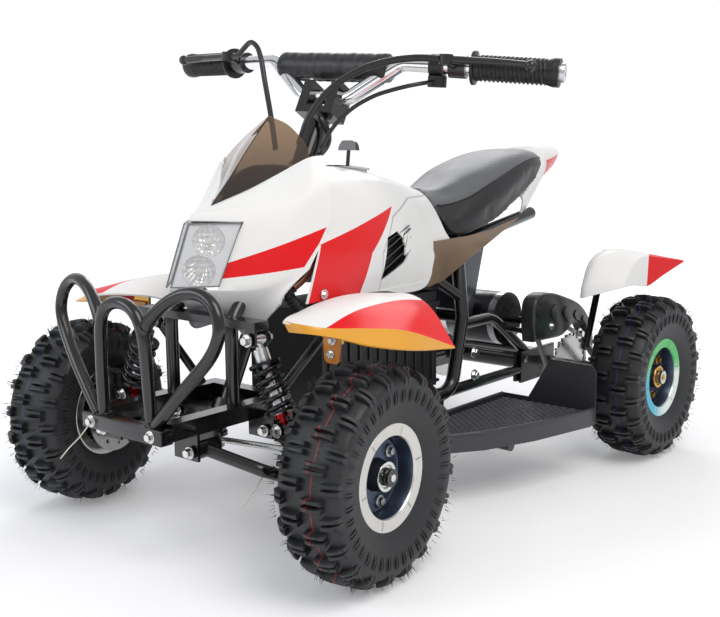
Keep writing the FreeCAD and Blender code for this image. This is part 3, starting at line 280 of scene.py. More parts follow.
def bars(x_from, x_to, shift, thick, angles, waist, steps):
    """Lug bars across the tread, one per angle.

    Along a bar its half thickness is thick times (waist + (1 - waist) * |2u - 1| ** 1.6), a dog bone, and
    its top follows the crown: radius times (1 - crown_drop * |x / half| ** crown_power).
    """
    u = np.linspace(0, 1, steps)
    from_middle = np.abs(2 * u - 1)
    x = x_from + (x_to - x_from) * u
    base = np.interp(np.abs(x), crown_x, crown_r) - rooted
    top = tyre_radius * (1 - crown_drop * np.abs(x / tyre_half) ** crown_power)
    wide = thick * (waist + (1 - waist) * from_middle ** 1.6)
    tall = (top - base) * (1 - 0.12 * (from_middle > 0.99))
    phi = angles[:, None, None] + (shift + wide[:, None] * lug[:, 0]) / tyre_radius
    return lug_part(on_axle(x[:, None], base[:, None] + tall[:, None] * lug[:, 1], phi))


def fins(s, r_from, r_to, shift, thick, angles):
    """Short radial fins on the shoulder, one per angle, that stand 3 mm out of the side."""
    u = np.linspace(0, 1, 4)
    r = r_from + (r_to - r_from) * u
    low = half_line[half_line[:, 1] < 121 * MM]
    x = np.interp(r, low[:, 1], low[:, 0]) - 1.0 * MM
    rise = 3.4 * MM * np.sin(np.pi * (0.14 + 0.78 * u))
    phi = angles[:, None, None] + (shift + thick * lug[:, 0]) / tyre_radius
    return lug_part(on_axle(x[:, None] + rise[:, None] * lug[:, 1], r[:, None], phi) * [s, 1, 1])


def hairs(seed, count):
    """Vent hairs: thin cones on the tread and the shoulders, leaning each its own way."""
    rng = np.random.default_rng(seed)
    angle = rng.uniform(0, 2 * np.pi, count)
    x = rng.choice([-1, 1], count) * tyre_half * rng.choice([0.45, 0.62, 0.9, 0.97, 1.0], count)
    x = x + rng.normal(0, 1.0 * MM, count)
    r = tyre_radius * (1 - crown_drop * np.clip(np.abs(x / tyre_half), 0, 1.04) ** crown_power) - rooted
    out_x = np.sign(x) * np.where(np.abs(x) > 0.8 * tyre_half, rng.uniform(0.15, 0.9, count), 0.1)
    lean = rng.normal(0, 0.3, count)
    around = np.stack([np.zeros(count), np.cos(angle), -np.sin(angle)], 1)
    way = on_axle(0.0, 1.0, angle) + around * lean[:, None]
    way[:, 0] += out_x
    way /= np.linalg.norm(way, axis=1)[:, None]
    root = on_axle(x, r, angle)
    tip = root + way * rng.uniform(6.0, 12.0, count)[:, None] * MM
    keep = tip[:, 2] > -tyre_radius + 2 * MM
    root, tip, around, way = root[keep], tip[keep], around[keep], way[keep]
    third = np.cross(way, around)
    ring = [root + 0.55 * MM * (around * math.cos(a) + third * math.sin(a)) for a in (0.5, 2.6, 4.7)]
    faces = [[4 * k + i, 4 * k + (i + 1) % 3, 4 * k + 3] for k in range(len(root)) for i in range(3)]
    faces += [[4 * k + 2, 4 * k + 1, 4 * k] for k in range(len(root))]
    return np.stack(ring + [tip], 1), faces


def tyre_parts(seed):
    """Whole tyre round its own axle: carcass, bars, shoulder blocks, fins and hairs."""
    whole = np.concatenate([half_line, half_line[-2::-1] * [-1, 1]])
    parts = [turned_part(whole[::-1], 120)]
    step = 2 * np.pi / pitches
    halves = np.arange(2 * pitches) * step / 2 + step / 4
    for s in (1, -1):
        angles = np.arange(pitches) * step + (0 if s > 0 else step / 2)
        for shift in (-4.6 * MM, 4.6 * MM):
            parts.append(bars(s * 3.0 * MM, s * 29.0 * MM, shift, 3.5 * MM, angles, 0.62, 7))
            between = angles + step / 2
            parts.append(bars(s * 28.0 * MM, s * 45.5 * MM, shift * 0.9, 3.3 * MM, between, 0.80, 5))
        parts += [fins(s, 92 * MM, 111 * MM, shift, 1.7 * MM, halves) for shift in (-2.9 * MM, 2.9 * MM)]
    return parts + [hairs(seed, 420)]


def noise(tree, spot, scale, detail):
    return add(tree, "TexNoise", {"Scale": scale, "Detail": detail, "Vector": spot})


def bump(tree, height, strength, distance, under=None):
    """Relief from a height, laid over the relief of another bump where one is given."""
    made = add(tree, "Bump", {"Strength": strength, "Distance": distance, "Height": height})
    if under is not None:
        tree.links.new(under.outputs[0], made.inputs["Normal"])
    return made


def skin(tree, given):
    surface(tree, add(tree, "BsdfPrincipled", given))


def rubber(name, line_code):
    """Tyre rubber: near-black, half matt, finely pitted, with one painted line round the tread."""
    made, tree, spot = blank(name)
    cloud = noise(tree, spot, 22.0, 4.0)
    line = add(tree, "Attribute", {"attribute_name": "across"}).outputs["Fac"]
    painted = calc(tree, "COMPARE", line, line_at_mm, line_half_mm)
    black = blend(tree, cloud, "141517", "25272a")
    skin(tree, {"IOR": 1.52, "Base Color": blend(tree, painted, black, line_code),
                "Roughness": spread(tree, cloud, 0.38, 0.62),
                "Normal": bump(tree, noise(tree, spot, 900.0, 3.0), 0.25, 0.4 * MM)})
    return made


axle_z = 136 * MM
front_y = -374 * MM
rear_y = 334 * MM
kingpin_x = 188 * MM
front_track = 268 * MM
rear_track = 291 * MM
wheels = {
    "front_left": (front_track, front_y, 4.0, 1, "wheel_front_left", "8e1f22"),
    "front_right": (front_track, front_y, 12.0, -1, "wheel_front_right", "27406e"),
    "rear_left": (rear_track, rear_y, 0.0, 1, "rear_axle", "3b3170"),
    "rear_right": (rear_track, rear_y, 0.0, -1, "rear_axle", "33343a"),
}


def on_wheel(points, key):
    """Moves points from a wheel's own axle, outer side towards +X, to that wheel as it stands."""
    track, y, turn, s, _, _ = wheels[key]
    p = points * [s, 1, 1] + [s * track, y, axle_z]
    a = math.radians(turn)
    dx = p[:, 0] - s * kingpin_x
    dy = p[:, 1] - front_y
    if turn:
        p[:, 0] = s * kingpin_x + dx * math.cos(a) - dy * math.sin(a)
        p[:, 1] = front_y + dx * math.sin(a) + dy * math.cos(a)
    return p


def hard_edges(piece, degrees):
    """Smooth shading that breaks where faces meet at more than so many degrees."""
    piece.modifiers.new("edges", "EDGE_SPLIT").split_angle = math.radians(degrees)


def settle(piece, material, body, slot_name, replaced=(), degrees=None):
    """Gives a piece its edges, its material, its body and the nodes that it stands for; slot_name is not used.
    """
    if degrees:
        hard_edges(piece, degrees)
    piece.data.materials.append(material)
    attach(piece, body)
    if replaced:
        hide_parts(*replaced)
    return piece


def store(piece, name, values):
    """Keeps one number per point as a named attribute for the material."""
    layer = piece.data.attributes.new(name, "FLOAT", "POINT")
    layer.data.foreach_set("value", np.asarray(values, np.float32).ravel())


def wheel_piece(name, parts, key, material, slot_name, replaced=(), degrees=None):
    """Joins parts made round an axle into one object on that wheel and its body."""
    points, faces = joined(parts)
    if wheels[key][3] < 0:
        faces = [f[::-1] for f in faces]
    piece = new_mesh(name + "_" + key, on_wheel(points, key), faces)
    store(piece, "across", points[:, 0] / MM)
    settle(piece, material, wheels[key][4], slot_name, replaced, degrees)


for seed, key in enumerate(wheels):
    moulded = rubber("moulded rubber " + key, wheels[key][5])
    wheel_piece("knobby_tyre", tyre_parts(seed), key, moulded, "tyre_rubber", ("tyre_" + key,), 35)

# Rims
# Pressed steel rims: a bright turned face ring, a deep dish behind it and a short hub. Three bolts clamp the
# halves. The front dishes are painted dark blue-grey; the rear rings carry a painted green and cyan reflection
# and a brass nut.
ring_line = np.array([[30.5, 66.0], [33.8, 66.0], [34.6, 64.8], [34.4, 62.6], [33.6, 52.2], [33.0, 50.6],
                      [31.6, 49.6]]) * MM
dish_line = np.array([[31.6, 49.6], [30.0, 48.6], [17.0, 46.6], [11.5, 45.4], [10.2, 43.0], [10.0, 34.0],
                      [10.0, 20.0]]) * MM
back_line = np.array([[-31.6, 49.6], [-28.0, 48.0], [6.0, 46.0], [7.0, 40.0], [7.0, 20.5], [-26.0, 20.5],
                      [-26.0, 8.0]]) * MM
boss_line = np.array([[10.0, 20.8], [11.0, 20.0], [25.0, 18.6], [26.2, 18.0]]) * MM
face_line = np.array([[26.2, 18.6], [27.0, 18.2], [27.2, 14.6], [26.4, 13.8], [24.0, 13.6], [24.0, 0.4]]) * MM
seat_line = np.array([[24.0, 12.0], [25.6, 12.0], [25.6, 0.4]]) * MM
stud_line = np.array([[33.4, 5.0], [36.4, 4.6], [36.8, 0.2]]) * MM
washer_line = np.array([[9.8, 8.5], [12.5, 8.0], [12.9, 7.4], [12.9, 0.2]]) * MM
bolt_circle = 35.5 * MM
slit_half = 0.3 * MM


def coating(name, base, wear, cloud, gloss, grain, press, given):
    """Even skin whose tint and gloss vary a little in clouds, over a fine grain in relief.

    Cloud is (scale, detail), gloss the (least, most) roughness, press the grain's (strength, distance).
    """
    made, tree, spot = blank(name)
    cloud = noise(tree, spot, *cloud)
    low = [c * (1 - wear) for c in colour(base)[:3]] + [1.0]
    skin(tree, {**given, "Base Color": blend(tree, cloud, low, base),
                "Roughness": spread(tree, cloud, *gloss),
                "Normal": bump(tree, noise(tree, spot, grain, 2.0), *press)})
    return made


def metal(name, base, roughness, grain=300.0, wear=0.12, metallic=1.0):
    """Bare or plated metal."""
    gloss = (max(roughness - 0.08, 0.03), roughness + 0.1)
    return coating(name, base, wear, (35.0, 5.0), gloss, grain, (0.06, 0.2 * MM), {"Metallic": metallic})


def paint(name, base, roughness, coat=0.0, grain=420.0, relief_mm=0.05):
    """Paint, powder coat or moulded plastic under a fine skin of orange peel."""
    gloss = (max(roughness - 0.05, 0.02), roughness + 0.06)
    return coating(name, base, 0.1, (18.0, 4.0), gloss, grain, (0.2, relief_mm * MM),
                   {"IOR": 1.5, "Coat Weight": coat, "Coat Roughness": 0.08})


turned_alloy = metal("turned aluminium", "d9d7d2", 0.28)
zinc = metal("zinc plated steel", "c3c4c2", 0.27)
bright_zinc = metal("bright zinc", "dcdcda", 0.2)
dish_paint = metal("blue-grey dish enamel", "4a5468", 0.24, metallic=0.75)
hub_paint = metal("dark cast hub", "3c4048", 0.35, metallic=0.8)
brass_plate = metal("yellow zinc plate", "c9a04e", 0.28)
# Painted shadow black, for dark marks laid where slits and slots fall into shade
slit_shadow_black = paint("shadow black", "0c0c0d", 0.5)

# Bright ring with a painted reflection: green over its upper part, cyan low on its front, silver elsewhere
ring_painted_reflection, tree, spot = blank("aluminium with painted green and cyan reflection")
split = add(tree, "SeparateXYZ", {0: spot}).outputs
high = spread(tree, split[2], 0.0, 1.0, 0.135, 0.165)
fore = spread(tree, split[1], 0.0, 1.0, 0.345, 0.300)
shade = blend(tree, fore, blend(tree, high, "d4dcd6", "4fae63"), "3aa9c4")
skin(tree, {"Metallic": 0.9, "Roughness": 0.26, "Base Color": blend(tree, high, shade, "4fae63")})


def hexagon(x_from, x_to, across_flats, centre=(0, 0)):
    """Nut or bolt head: six flats with a small chamfer, closed by a middle point."""
    r = across_flats / math.sqrt(3)
    edge = 0.12 * across_flats
    return turned_part([[x_from, r], [x_to - edge, r], [x_to, r * 0.9], [x_to, 0.02 * MM]], 6, centre)


for key in wheels:
    front = key.startswith("front")
    ring_parts = [turned_part(smooth_line(ring_line, 4), 96), turned_part(ring_line * [-1, 1], 64)]
    if front:
        wheel_piece("rim_ring", ring_parts, key, turned_alloy, "rim_steel", ("rim_" + key,))
    else:
        wheel_piece("rim_ring", ring_parts, key, ring_painted_reflection, "rear_rim", ("rims_rear",))
    dish_parts = [turned_part(dish_line, 96), turned_part(back_line, 64)]
    wheel_piece("rim_dish", dish_parts, key, dish_paint, "rim_steel", (), 40)
    wheel_piece("hub_boss", [turned_part(boss_line, 48)], key, hub_paint, "rim_steel", (), 40)
    hub_bits = [turned_part(face_line, 48), turned_part(seat_line, 40), turned_part(stud_line, 24),
                hexagon(25.6 * MM, 33.5 * MM, 17.0 * MM)]
    wheel_piece("hub_nut", hub_bits, key, bright_zinc if front else brass_plate, "grey_steel", (), 30)
    bolts = []
    for a in (math.radians(degrees) for degrees in (40, 160, 280)):
        centre = (bolt_circle * math.cos(a), bolt_circle * math.sin(a))
        bolts += [turned_part(washer_line, 24, centre), hexagon(12.9 * MM, 17.0 * MM, 9.0 * MM, centre)]
    wheel_piece("rim_bolts", bolts, key, zinc if front else brass_plate, "grey_steel", (), 30)
    # Slits: thin black strips laid on the ring's face, painted shadow of the slits in the ring
    slits = []
    for a in 2 * math.pi * np.arange(6) / 6 + 0.35:
        u = np.array([math.sin(a), math.cos(a)])
        w = np.array([u[1], -u[0]]) * slit_half
        quad = [[x * MM, *(u * r * MM + w * way)] for x, r, way in
                ((34.5, 51.5, -1), (34.5, 51.5, 1), (34.9, 62.5, 1), (34.9, 62.5, -1))]
        slits.append((quad, [[0, 1, 2, 3]]))
    wheel_piece("rim_slits", slits, key, slit_shadow_black, "rim_steel")

# Frame, arms and bumper
# Welded tube and plate, sand-blasted and powder coated gloss black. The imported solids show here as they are,
# with their loose triangles joined so that the tubes shade round and the plate edges stay crisp.
powder_black = paint("black powder coat", "0d0d0e", 0.22, coat=0.35, grain=700.0, relief_mm=0.06)
moulded_black = paint("grained black moulding", "17181a", 0.46, grain=900.0, relief_mm=0.12)
chrome = metal("polished chrome", "e9eaec", 0.07, wear=0.03)


def dress(name, material, degrees=32):
    """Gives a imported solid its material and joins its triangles, with edges where flat faces meet."""
    solid = nodes[name]
    solid.data.materials.clear()
    solid.data.materials.append(material)
    solid.modifiers.new("joined", "WELD").merge_threshold = 0.01 * MM
    solid.data.polygons.foreach_set("use_smooth", np.full(len(solid.data.polygons), True))
    hard_edges(solid, degrees)


for name in ("frame", "front_arms", "axle_carrier", "knuckle_left", "knuckle_right", "steering_stem"):
    dress(name, powder_black)
for name in ("disc_front_left", "disc_front_right", "rear_axle", "sprocket", "tie_rod_left", "tie_rod_right"):
    dress(name, zinc)
dress("battery_box", moulded_black)
dress("handlebar", chrome)
dress("fender_brackets", brass_plate)

# Bodywork
# Thin mouldings of white ABS, coloured in the mould and polished, with red decals cut to straight edges.
# They are drawn as nets of points on the left half, smoothed, mirrored and given their wall inwards.
shell_wall = 3.0
red = "e40f17"


def patch(net, steps):
    """Catmull-Rom surface through a net of points in millimetres: along its rows, then along its columns."""
    rows = np.stack([smooth_line(row, steps) for row in np.array(net, float) * MM])
    return np.stack([smooth_line(rows[:, k], steps) for k in range(rows.shape[1])], 1)


def outward(piece):
    """Makes every face of a closed piece look outwards."""
    shell = bmesh.new()
    shell.from_mesh(piece.data)
    bmesh.ops.recalc_face_normals(shell, faces=shell.faces)
    shell.to_mesh(piece.data)
    shell.free()


def thicken(piece, wall):
    """Gives a skin its wall inwards, in millimetres."""
    thick = piece.modifiers.new("wall", "SOLIDIFY")
    thick.thickness = wall * MM
    thick.offset = -1.0


def shell(name, grids, heart, wall, material, slot_name, replaced=(), degrees=38, sides=(1, -1)):
    """Joins grids drawn on the left, on the sides asked for, into one skin that faces away from the heart."""
    grids = [grid if s > 0 else grid[:, ::-1] * [-1, 1, 1] for s in sides for grid in grids]
    piece = new_mesh(name, *joined([(grid, grid_faces(*grid.shape[:2])) for grid in grids]))
    sheet = bmesh.new()
    sheet.from_mesh(piece.data)
    bmesh.ops.remove_doubles(sheet, verts=sheet.verts, dist=0.2 * MM)
    bmesh.ops.recalc_face_normals(sheet, faces=sheet.faces)
    sheet.to_mesh(piece.data)
    sheet.free()
    heart = Vector(heart) * MM
    if sum((p.center - heart) @ p.normal * p.area for p in piece.data.polygons) < 0:
        piece.data.flip_normals()
    thicken(piece, wall)
    return settle(piece, material, "chassis", slot_name, replaced, degrees)


def planes_round(corners):
    """Planes of a convex outline in the side view, its (y, z) corners walked against the clock."""
    for (y0, z0), (y1, z1) in zip(corners, corners[1:] + corners[:1]):
        long = math.hypot(y1 - y0, z1 - z0)
        ny, nz = -(z1 - z0) / long, (y1 - y0) / long
        yield (0, ny, nz), ny * y0 + nz * z0


def inside(tree, coords, planes):
    """Least distance in metres to planes: unit normals to the inner side, offsets in millimetres."""
    least = None
    for normal, offset in planes:
        dot = vector_calc(tree, "DOT_PRODUCT", coords, normal).outputs["Value"]
        off = calc(tree, "SUBTRACT", dot, offset * MM)
        least = off if least is None else calc(tree, "MINIMUM", off, least)
    return least


def moulding(name, decal, steps=(), painted_under_shade=None):
    """White ABS under a hard gloss, red within the decal's convex outlines; steps are outlines pressed in, and
    painted shade greys it below a given height.
    """
    made, tree, spot = blank(name)
    shade = blend(tree, noise(tree, spot, 14.0, 3.0), "e9e9e8", "f1f1f0")
    # Painted shade: grey that deepens below a height, where the moulding's underside turns from the light
    if painted_under_shade:
        low, high, code = painted_under_shade
        height = add(tree, "SeparateXYZ", {0: spot}).outputs[2]
        shade = blend(tree, spread(tree, height, 1.0, 0.0, low * MM, high * MM), shade, code)
    widest = None
    for corners in decal:
        edge = inside(tree, spot, planes_round(corners))
        widest = edge if widest is None else calc(tree, "MAXIMUM", edge, widest)
    shade = blend(tree, calc(tree, "GREATER_THAN", widest, 0.0), shade, red)
    relief = bump(tree, noise(tree, spot, 30.0, 1.0), 0.12, 0.6 * MM)
    for corners in steps:
        ramp = spread(tree, inside(tree, spot, planes_round(corners)), 1.0, 0.0, -1.2 * MM, 1.2 * MM)
        relief = bump(tree, ramp, 1.0, 2.2 * MM, relief)
    skin(tree, {"IOR": 1.45, "Specular IOR Level": 0.35, "Coat Weight": 0.1, "Coat Roughness": 0.06,
                "Roughness": 0.27, "Base Color": shade, "Normal": relief})
    return made


# Front cowl
# Nose and shoulders in one moulding: a soft ridge, an opening for each lamp, a chin that runs back under them
# and rear edges cut on the slant over the shocks. A red decal crosses each side.
cowl_net = [
    [(0, -368, 450), (28, -328, 470), (56, -299, 490), (84, -273, 510), (96, -256, 514)],
    [(0, -394, 441), (30, -354, 452), (58, -322, 462), (98, -285, 474), (112, -262, 478)],
    [(0, -410, 432), (26, -385, 431), (52, -360, 430), (94, -312, 432), (121, -268, 430)],
    [(0, -447, 345), (23, -425, 344), (46, -404, 343), (84, -360, 346), (113, -302, 366)],
    [(0, -400, 322), (26, -392, 316), (48, -380, 312), (76, -360, 318), (101, -334, 340)],
    [(0, -345, 292), (28, -354, 284), (52, -362, 278), (74, -357, 292), (98, -345, 324)],
]
net_steps = 12
lamp_edge = 2 * net_steps
upper = patch(cowl_net[:4], net_steps)
cowl_grids = [upper[:lamp_edge + 1], upper[lamp_edge:, lamp_edge:], patch(cowl_net[3:], net_steps)]
cowl_stripe = ((-398, 358), (-308, 369), (-286, 399), (-274, 420), (-387, 378))
# The chin below the lamps is greyed with painted shade.
cowl_abs = moulding("white ABS with cowl decal and painted chin shade", [cowl_stripe], painted_under_shade=(290, 345, "a4a5a8"))
shell("cowl_shell", cowl_grids, (0, -300, 400), shell_wall, cowl_abs, "white_plastic", ("front_cowl",))

# Windscreen
# A pointed screen of smoked acrylic with a centre ridge, seated along the top edge of the cowl.
screen_net = [
    [(0, -370, 450), (2, -368, 451), (3, -366, 452), (4, -364, 452), (5, -362, 453)],
    [(0, -338, 483), (12, -332, 482), (23, -328, 477), (29, -328, 473), (30, -328, 471)],
    [(0, -301, 524), (22, -294, 521), (41, -290, 511), (53, -294, 499), (57, -298, 492)],
    [(0, -259, 568), (28, -253, 557), (54, -255, 540), (74, -260, 523), (83, -268, 509)],
]
smoked, tree, spot = blank("smoked acrylic")
# The smoked tint is painted darker towards the bottom and paler towards the top: painted shade of the dark
# cowl opening behind it below, painted light of the bright backdrop above.
height = add(tree, "SeparateXYZ", {0: spot}).outputs[2]
skin(tree, {"IOR": 1.49, "Transmission Weight": 0.9, "Coat Weight": 0.4, "Coat Roughness": 0.03,
            "Base Color": blend(tree, spread(tree, height, 0.0, 1.0, 0.45, 0.57), "4a3629", "9c8064"),
            "Roughness": spread(tree, noise(tree, spot, 120.0, 3.0), 0.02, 0.09)})
screen_grid = patch(screen_net, 10)
shell("windscreen_shell", [screen_grid], (0, -270, 440), 2.4, smoked, "smoked_screen", ("windscreen",), 30)

# Headlamps
# Two chromed bowls with a bulb each on either side, pressed into one plate, behind a clear lens that is glued
# into the cowl with a thin dark bead.
bowl_chrome = metal("vacuum-plated bowls", "f6f7f9", 0.12, wear=0.03, metallic=0.62)
bulb_glass = paint("frosted bulb", "e8e4d8", 0.12, coat=0.5, grain=90.0)
bead_grey = paint("grey butyl bead", "6e7174", 0.4, grain=400.0)
lens_clear, tree, _ = blank("clear polycarbonate with painted edge reflection")
# Painted reflection: the lens is nearly clear face on and turns towards opaque white at grazing angles.
painted_edge_reflection = add(tree, "LayerWeight", {"Blend": 0.32}).outputs["Fresnel"]
skin(tree, {"Base Color": colour("fbfcfd"), "IOR": 1.58, "Roughness": 0.03, "Coat Weight": 0.5,
            "Coat Roughness": 0.02, "Alpha": spread(tree, painted_edge_reflection, 0.05, 0.6)})
lamp_corner = np.array([4.0, -413.0, 429.0])
lamp_across = np.array([48.5, 49.5, 0.0])
lamp_down = np.array([0.0, -34.0, -81.0])
lamp_taper = 0.9
lamp_out = unit(np.cross(lamp_down, lamp_across))
bowl_radius = 21.0
bowl_depth = 15.0
bulb_radius = 5.4
bead_half = 0.9
bead_wide = 1.9
bowls_at = np.array([(0.47, 0.27), (0.47, 0.74)])


def lamp_face(u, v, proud):
    """Points of the lamp's flat face: u across, v down, its width tapering downwards, moved out by proud."""
    u, v, proud = (np.asarray(value, float)[..., None] for value in (u, v, proud))
    wide = 1 - (1 - lamp_taper) * v
    return lamp_corner + lamp_across * (u * wide) + lamp_down * v + lamp_out * proud


def lamp_skin(name, s, u, v, proud, wall, material, slot_name, degrees, replaced=()):
    """Skin in front of or behind the lamp's face on one side, with its wall behind it."""
    piece = new_mesh(name, lamp_face(u, v, proud) * [s, 1, 1] * MM, grid_faces(*u.shape))
    if s > 0:
        piece.data.flip_normals()
    thicken(piece, wall)
    settle(piece, material, "chassis", slot_name, replaced, degrees)


def circle(aside, over, sides):
    """Points of a unit circle spanned by two directions, or one circle for each pair of directions."""
    angle = turns(sides)[:, None]
    return aside[..., None, :] * np.cos(angle) + over[..., None, :] * np.sin(angle)


def solid(name, parts, material, slot_name, replaced=(), degrees=None, body="chassis", smooth=True, wall=0,
          rounded=None):
    """One object that looks outwards, from closed parts of (points in millimetres, faces)."""
    points, faces = joined(parts)
    piece = new_mesh(name, points * MM, faces, smooth)
    outward(piece)
    if wall:
        thicken(piece, wall)
    if rounded:
        edge = piece.modifiers.new("rounded", "BEVEL")
        edge.width, edge.segments = rounded[0] * MM, rounded[1]
    return settle(piece, material, body, slot_name, replaced, degrees)


for side_name, s in (("left", 1), ("right", -1)):
    u, v = np.meshgrid(np.linspace(0.01, 0.99, 66), np.linspace(0.01, 0.99, 88), indexing="xy")
    depth = np.zeros_like(u)
    for centre in lamp_face(*bowls_at.T, np.zeros(2)):
        far = np.linalg.norm(lamp_face(u, v, depth * 0) - centre, axis=-1)
        depth = np.maximum(depth, bowl_depth * np.clip(1 - (far / bowl_radius) ** 2, 0, 1) ** 0.55)
    facets = 1.1 * np.abs(np.sin(np.arctan2(v - 0.5, u - 0.5) * 13.0)) + 0.8 * np.abs(np.sin(v * 40.0))
    behind = -5.0 - depth - facets * (depth > 0)
    lamp_skin("lamp_bowls_" + side_name, s, u, v, behind, 1.2, bowl_chrome, "chrome_bar", 30, ("headlamps",))
    polar = np.linspace(0, math.pi, 14)
    ball = (lamp_out * (7.0 - 6.5 * np.cos(polar))[:, None, None]
            + bulb_radius * np.sin(np.clip(polar, 0.05, math.pi - 0.05))[:, None, None]
            * circle(unit(lamp_across), np.cross(lamp_out, unit(lamp_across)), 28))
    roots = lamp_face(*bowls_at.T, -4.5 - bowl_depth * np.ones(2))
    bulbs = [((root + ball) * [s, 1, 1], tube_faces(14, 28)) for root in roots]
    solid("lamp_bulbs_" + side_name, bulbs, bulb_glass, "lamp_glass")
    u, v = np.meshgrid(np.linspace(0, 1, 30), np.linspace(0, 1, 40), indexing="xy")
    crown = 3.0 * (1 - (2 * u - 1) ** 4) * (1 - (2 * v - 1) ** 4)
    lamp_skin("lamp_lens_" + side_name, s, u, v, crown, 1.8, lens_clear, "lamp_glass", 40)
    rim = lamp_face(np.array([0.0, 1.0, 1.0, 0.0]), np.array([0.0, 0.0, 1.0, 1.0]), np.zeros(4))
    inward = rim.mean(0) - rim
    inner = rim + inward / np.linalg.norm(inward, axis=1)[:, None] * bead_wide
    tall = lamp_out * bead_half
    loops = np.array([rim + tall, inner + tall, inner - tall, rim - tall])
    bead = (loops * [s, 1, 1], grid_faces(4, 4, close_rows=True, close_cols=True))
    solid("lamp_bead_" + side_name, [bead], bead_grey, "dark_plastic", smooth=False)

# Tank cover
# The tank, its sides and the flanks below the seat in one white moulding, with a red decal on each side, a
# pressed line over the knee and an air slot that runs into three points behind, with slats across it.
cover_net = [
    [(0, -262, 500), (34, -262, 499), (66, -262, 488), (92, -262, 468), (110, -266, 440), (119, -285, 398),
     (121, -301, 360), (121, -316, 322)],
    [(0, -210, 500), (32, -210, 499), (62, -210, 488), (88, -210, 466), (106, -210, 436), (117, -212, 396),
     (118, -214, 356), (114, -214, 322)],
    [(0, -140, 495), (30, -140, 494), (56, -140, 484), (80, -140, 462), (98, -140, 434), (110, -140, 392),
     (112, -140, 352), (106, -140, 318)],
    [(0, -80, 487), (28, -80, 486), (52, -80, 476), (73, -80, 455), (89, -80, 428), (101, -80, 388),
     (103, -80, 348), (98, -80, 308)],
    [(0, -20, 474), (25, -20, 473), (46, -20, 463), (64, -20, 444), (79, -20, 418), (91, -20, 384),
     (95, -20, 348), (93, -20, 311)],
    [(0, 12, 466), (23, 12, 465), (42, 12, 455), (59, 12, 437), (73, 12, 413), (85, 12, 384),
     (89, 12, 362), (88, 12, 343)],
    [(0, 50, 456), (20, 50, 455), (38, 50, 446), (54, 50, 430), (68, 50, 409), (79, 50, 390),
     (84, 54, 380), (84, 58, 376)],
]
slot_outline = [(-151, 334), (-132, 395), (-102, 402), (-88.5, 391), (-79, 403), (-86, 385), (-85, 380),
                (-69, 398), (-84, 373), (-85, 365), (-65, 374), (-88, 354)]
flank_red = (((-322, 300), (-210, 300), (-175, 377), (-285, 398)), ((-175, 377), (-97, 438), (-285, 398)))
knee_step = ((-151, 320), (90, 320), (90, 446), (-31, 446), (-104, 423), (-148, 374))


def prism(outline, axis, low, high):
    """Points and faces of an outline in millimetres drawn out along an axis between two places."""
    count = len(outline)
    points = np.concatenate([np.insert(np.asarray(outline, float), axis, at, 1) for at in (low, high)])
    k = np.arange(count)
    n = (k + 1) % count
    return points, np.stack([k, n, n + count, k + count], 1).tolist() + [list(k), list(k + count)]


cover_abs = moulding("white ABS with flank decal", flank_red, steps=(knee_step,))
cover_grid = patch(cover_net, 10)
cover = shell("tank_cover_shell", [cover_grid], (0, -120, 380), shell_wall, cover_abs, "white_plastic",
              ("body_cover",))
points, faces = prism(slot_outline, 0, -140.0, 140.0)
cutter = new_mesh("slot_cutter", points * MM, faces, smooth=False)
outward(cutter)
cut = cover.modifiers.new("slot", "BOOLEAN")
cut.operation = "DIFFERENCE"
cut.solver = "EXACT"
cut.object = cutter
cover.modifiers.move(len(cover.modifiers) - 1, 1)
slotted = bpy.data.meshes.new_from_object(cover.evaluated_get(bpy.context.evaluated_depsgraph_get()))
cover.modifiers.clear()
cover.data = slotted
bpy.data.objects.remove(cutter)

# Slats: five thin blades behind each slot, sloping up to the rear, on a liner, both black as painted shade
# deep in the slot
slot_shade_black = paint("slats and liner in painted shade", "1d1e20", 0.35, coat=0.2, grain=500.0)
box_faces = [[0, 1, 3, 2], [4, 6, 7, 5], [0, 4, 5, 1], [2, 3, 7, 6], [0, 2, 6, 4], [1, 5, 7, 3]]
slats = []
for s in (1, -1):
    for z in (338.0, 351.0, 364.0, 377.0, 390.0):
        edge = np.array([[s * x, y, z + dz] for x, y, lift in ((108.0, -152.0, -8.0), (98.0, -64.0, 26.0))
                         for dz in (lift - 1.1, lift + 1.1)])
        slats.append((np.concatenate([edge, edge + [s * -7.0, 0, -2.0]]), box_faces))
    liner = np.array([[s * x, y, z] for x, y in ((97.0, -160.0), (84.0, -58.0)) for z in (326.0, 412.0)])
    slats.append((np.concatenate([liner, liner - [s * 2.0, 0, 0]]), box_faces))
points, faces = joined(slats)
points[:, 2] = np.clip(points[:, 2], 330.0, 408.0)
solid("air_slot_slats", [(points, faces)], slot_shade_black, "dark_plastic", smooth=False)

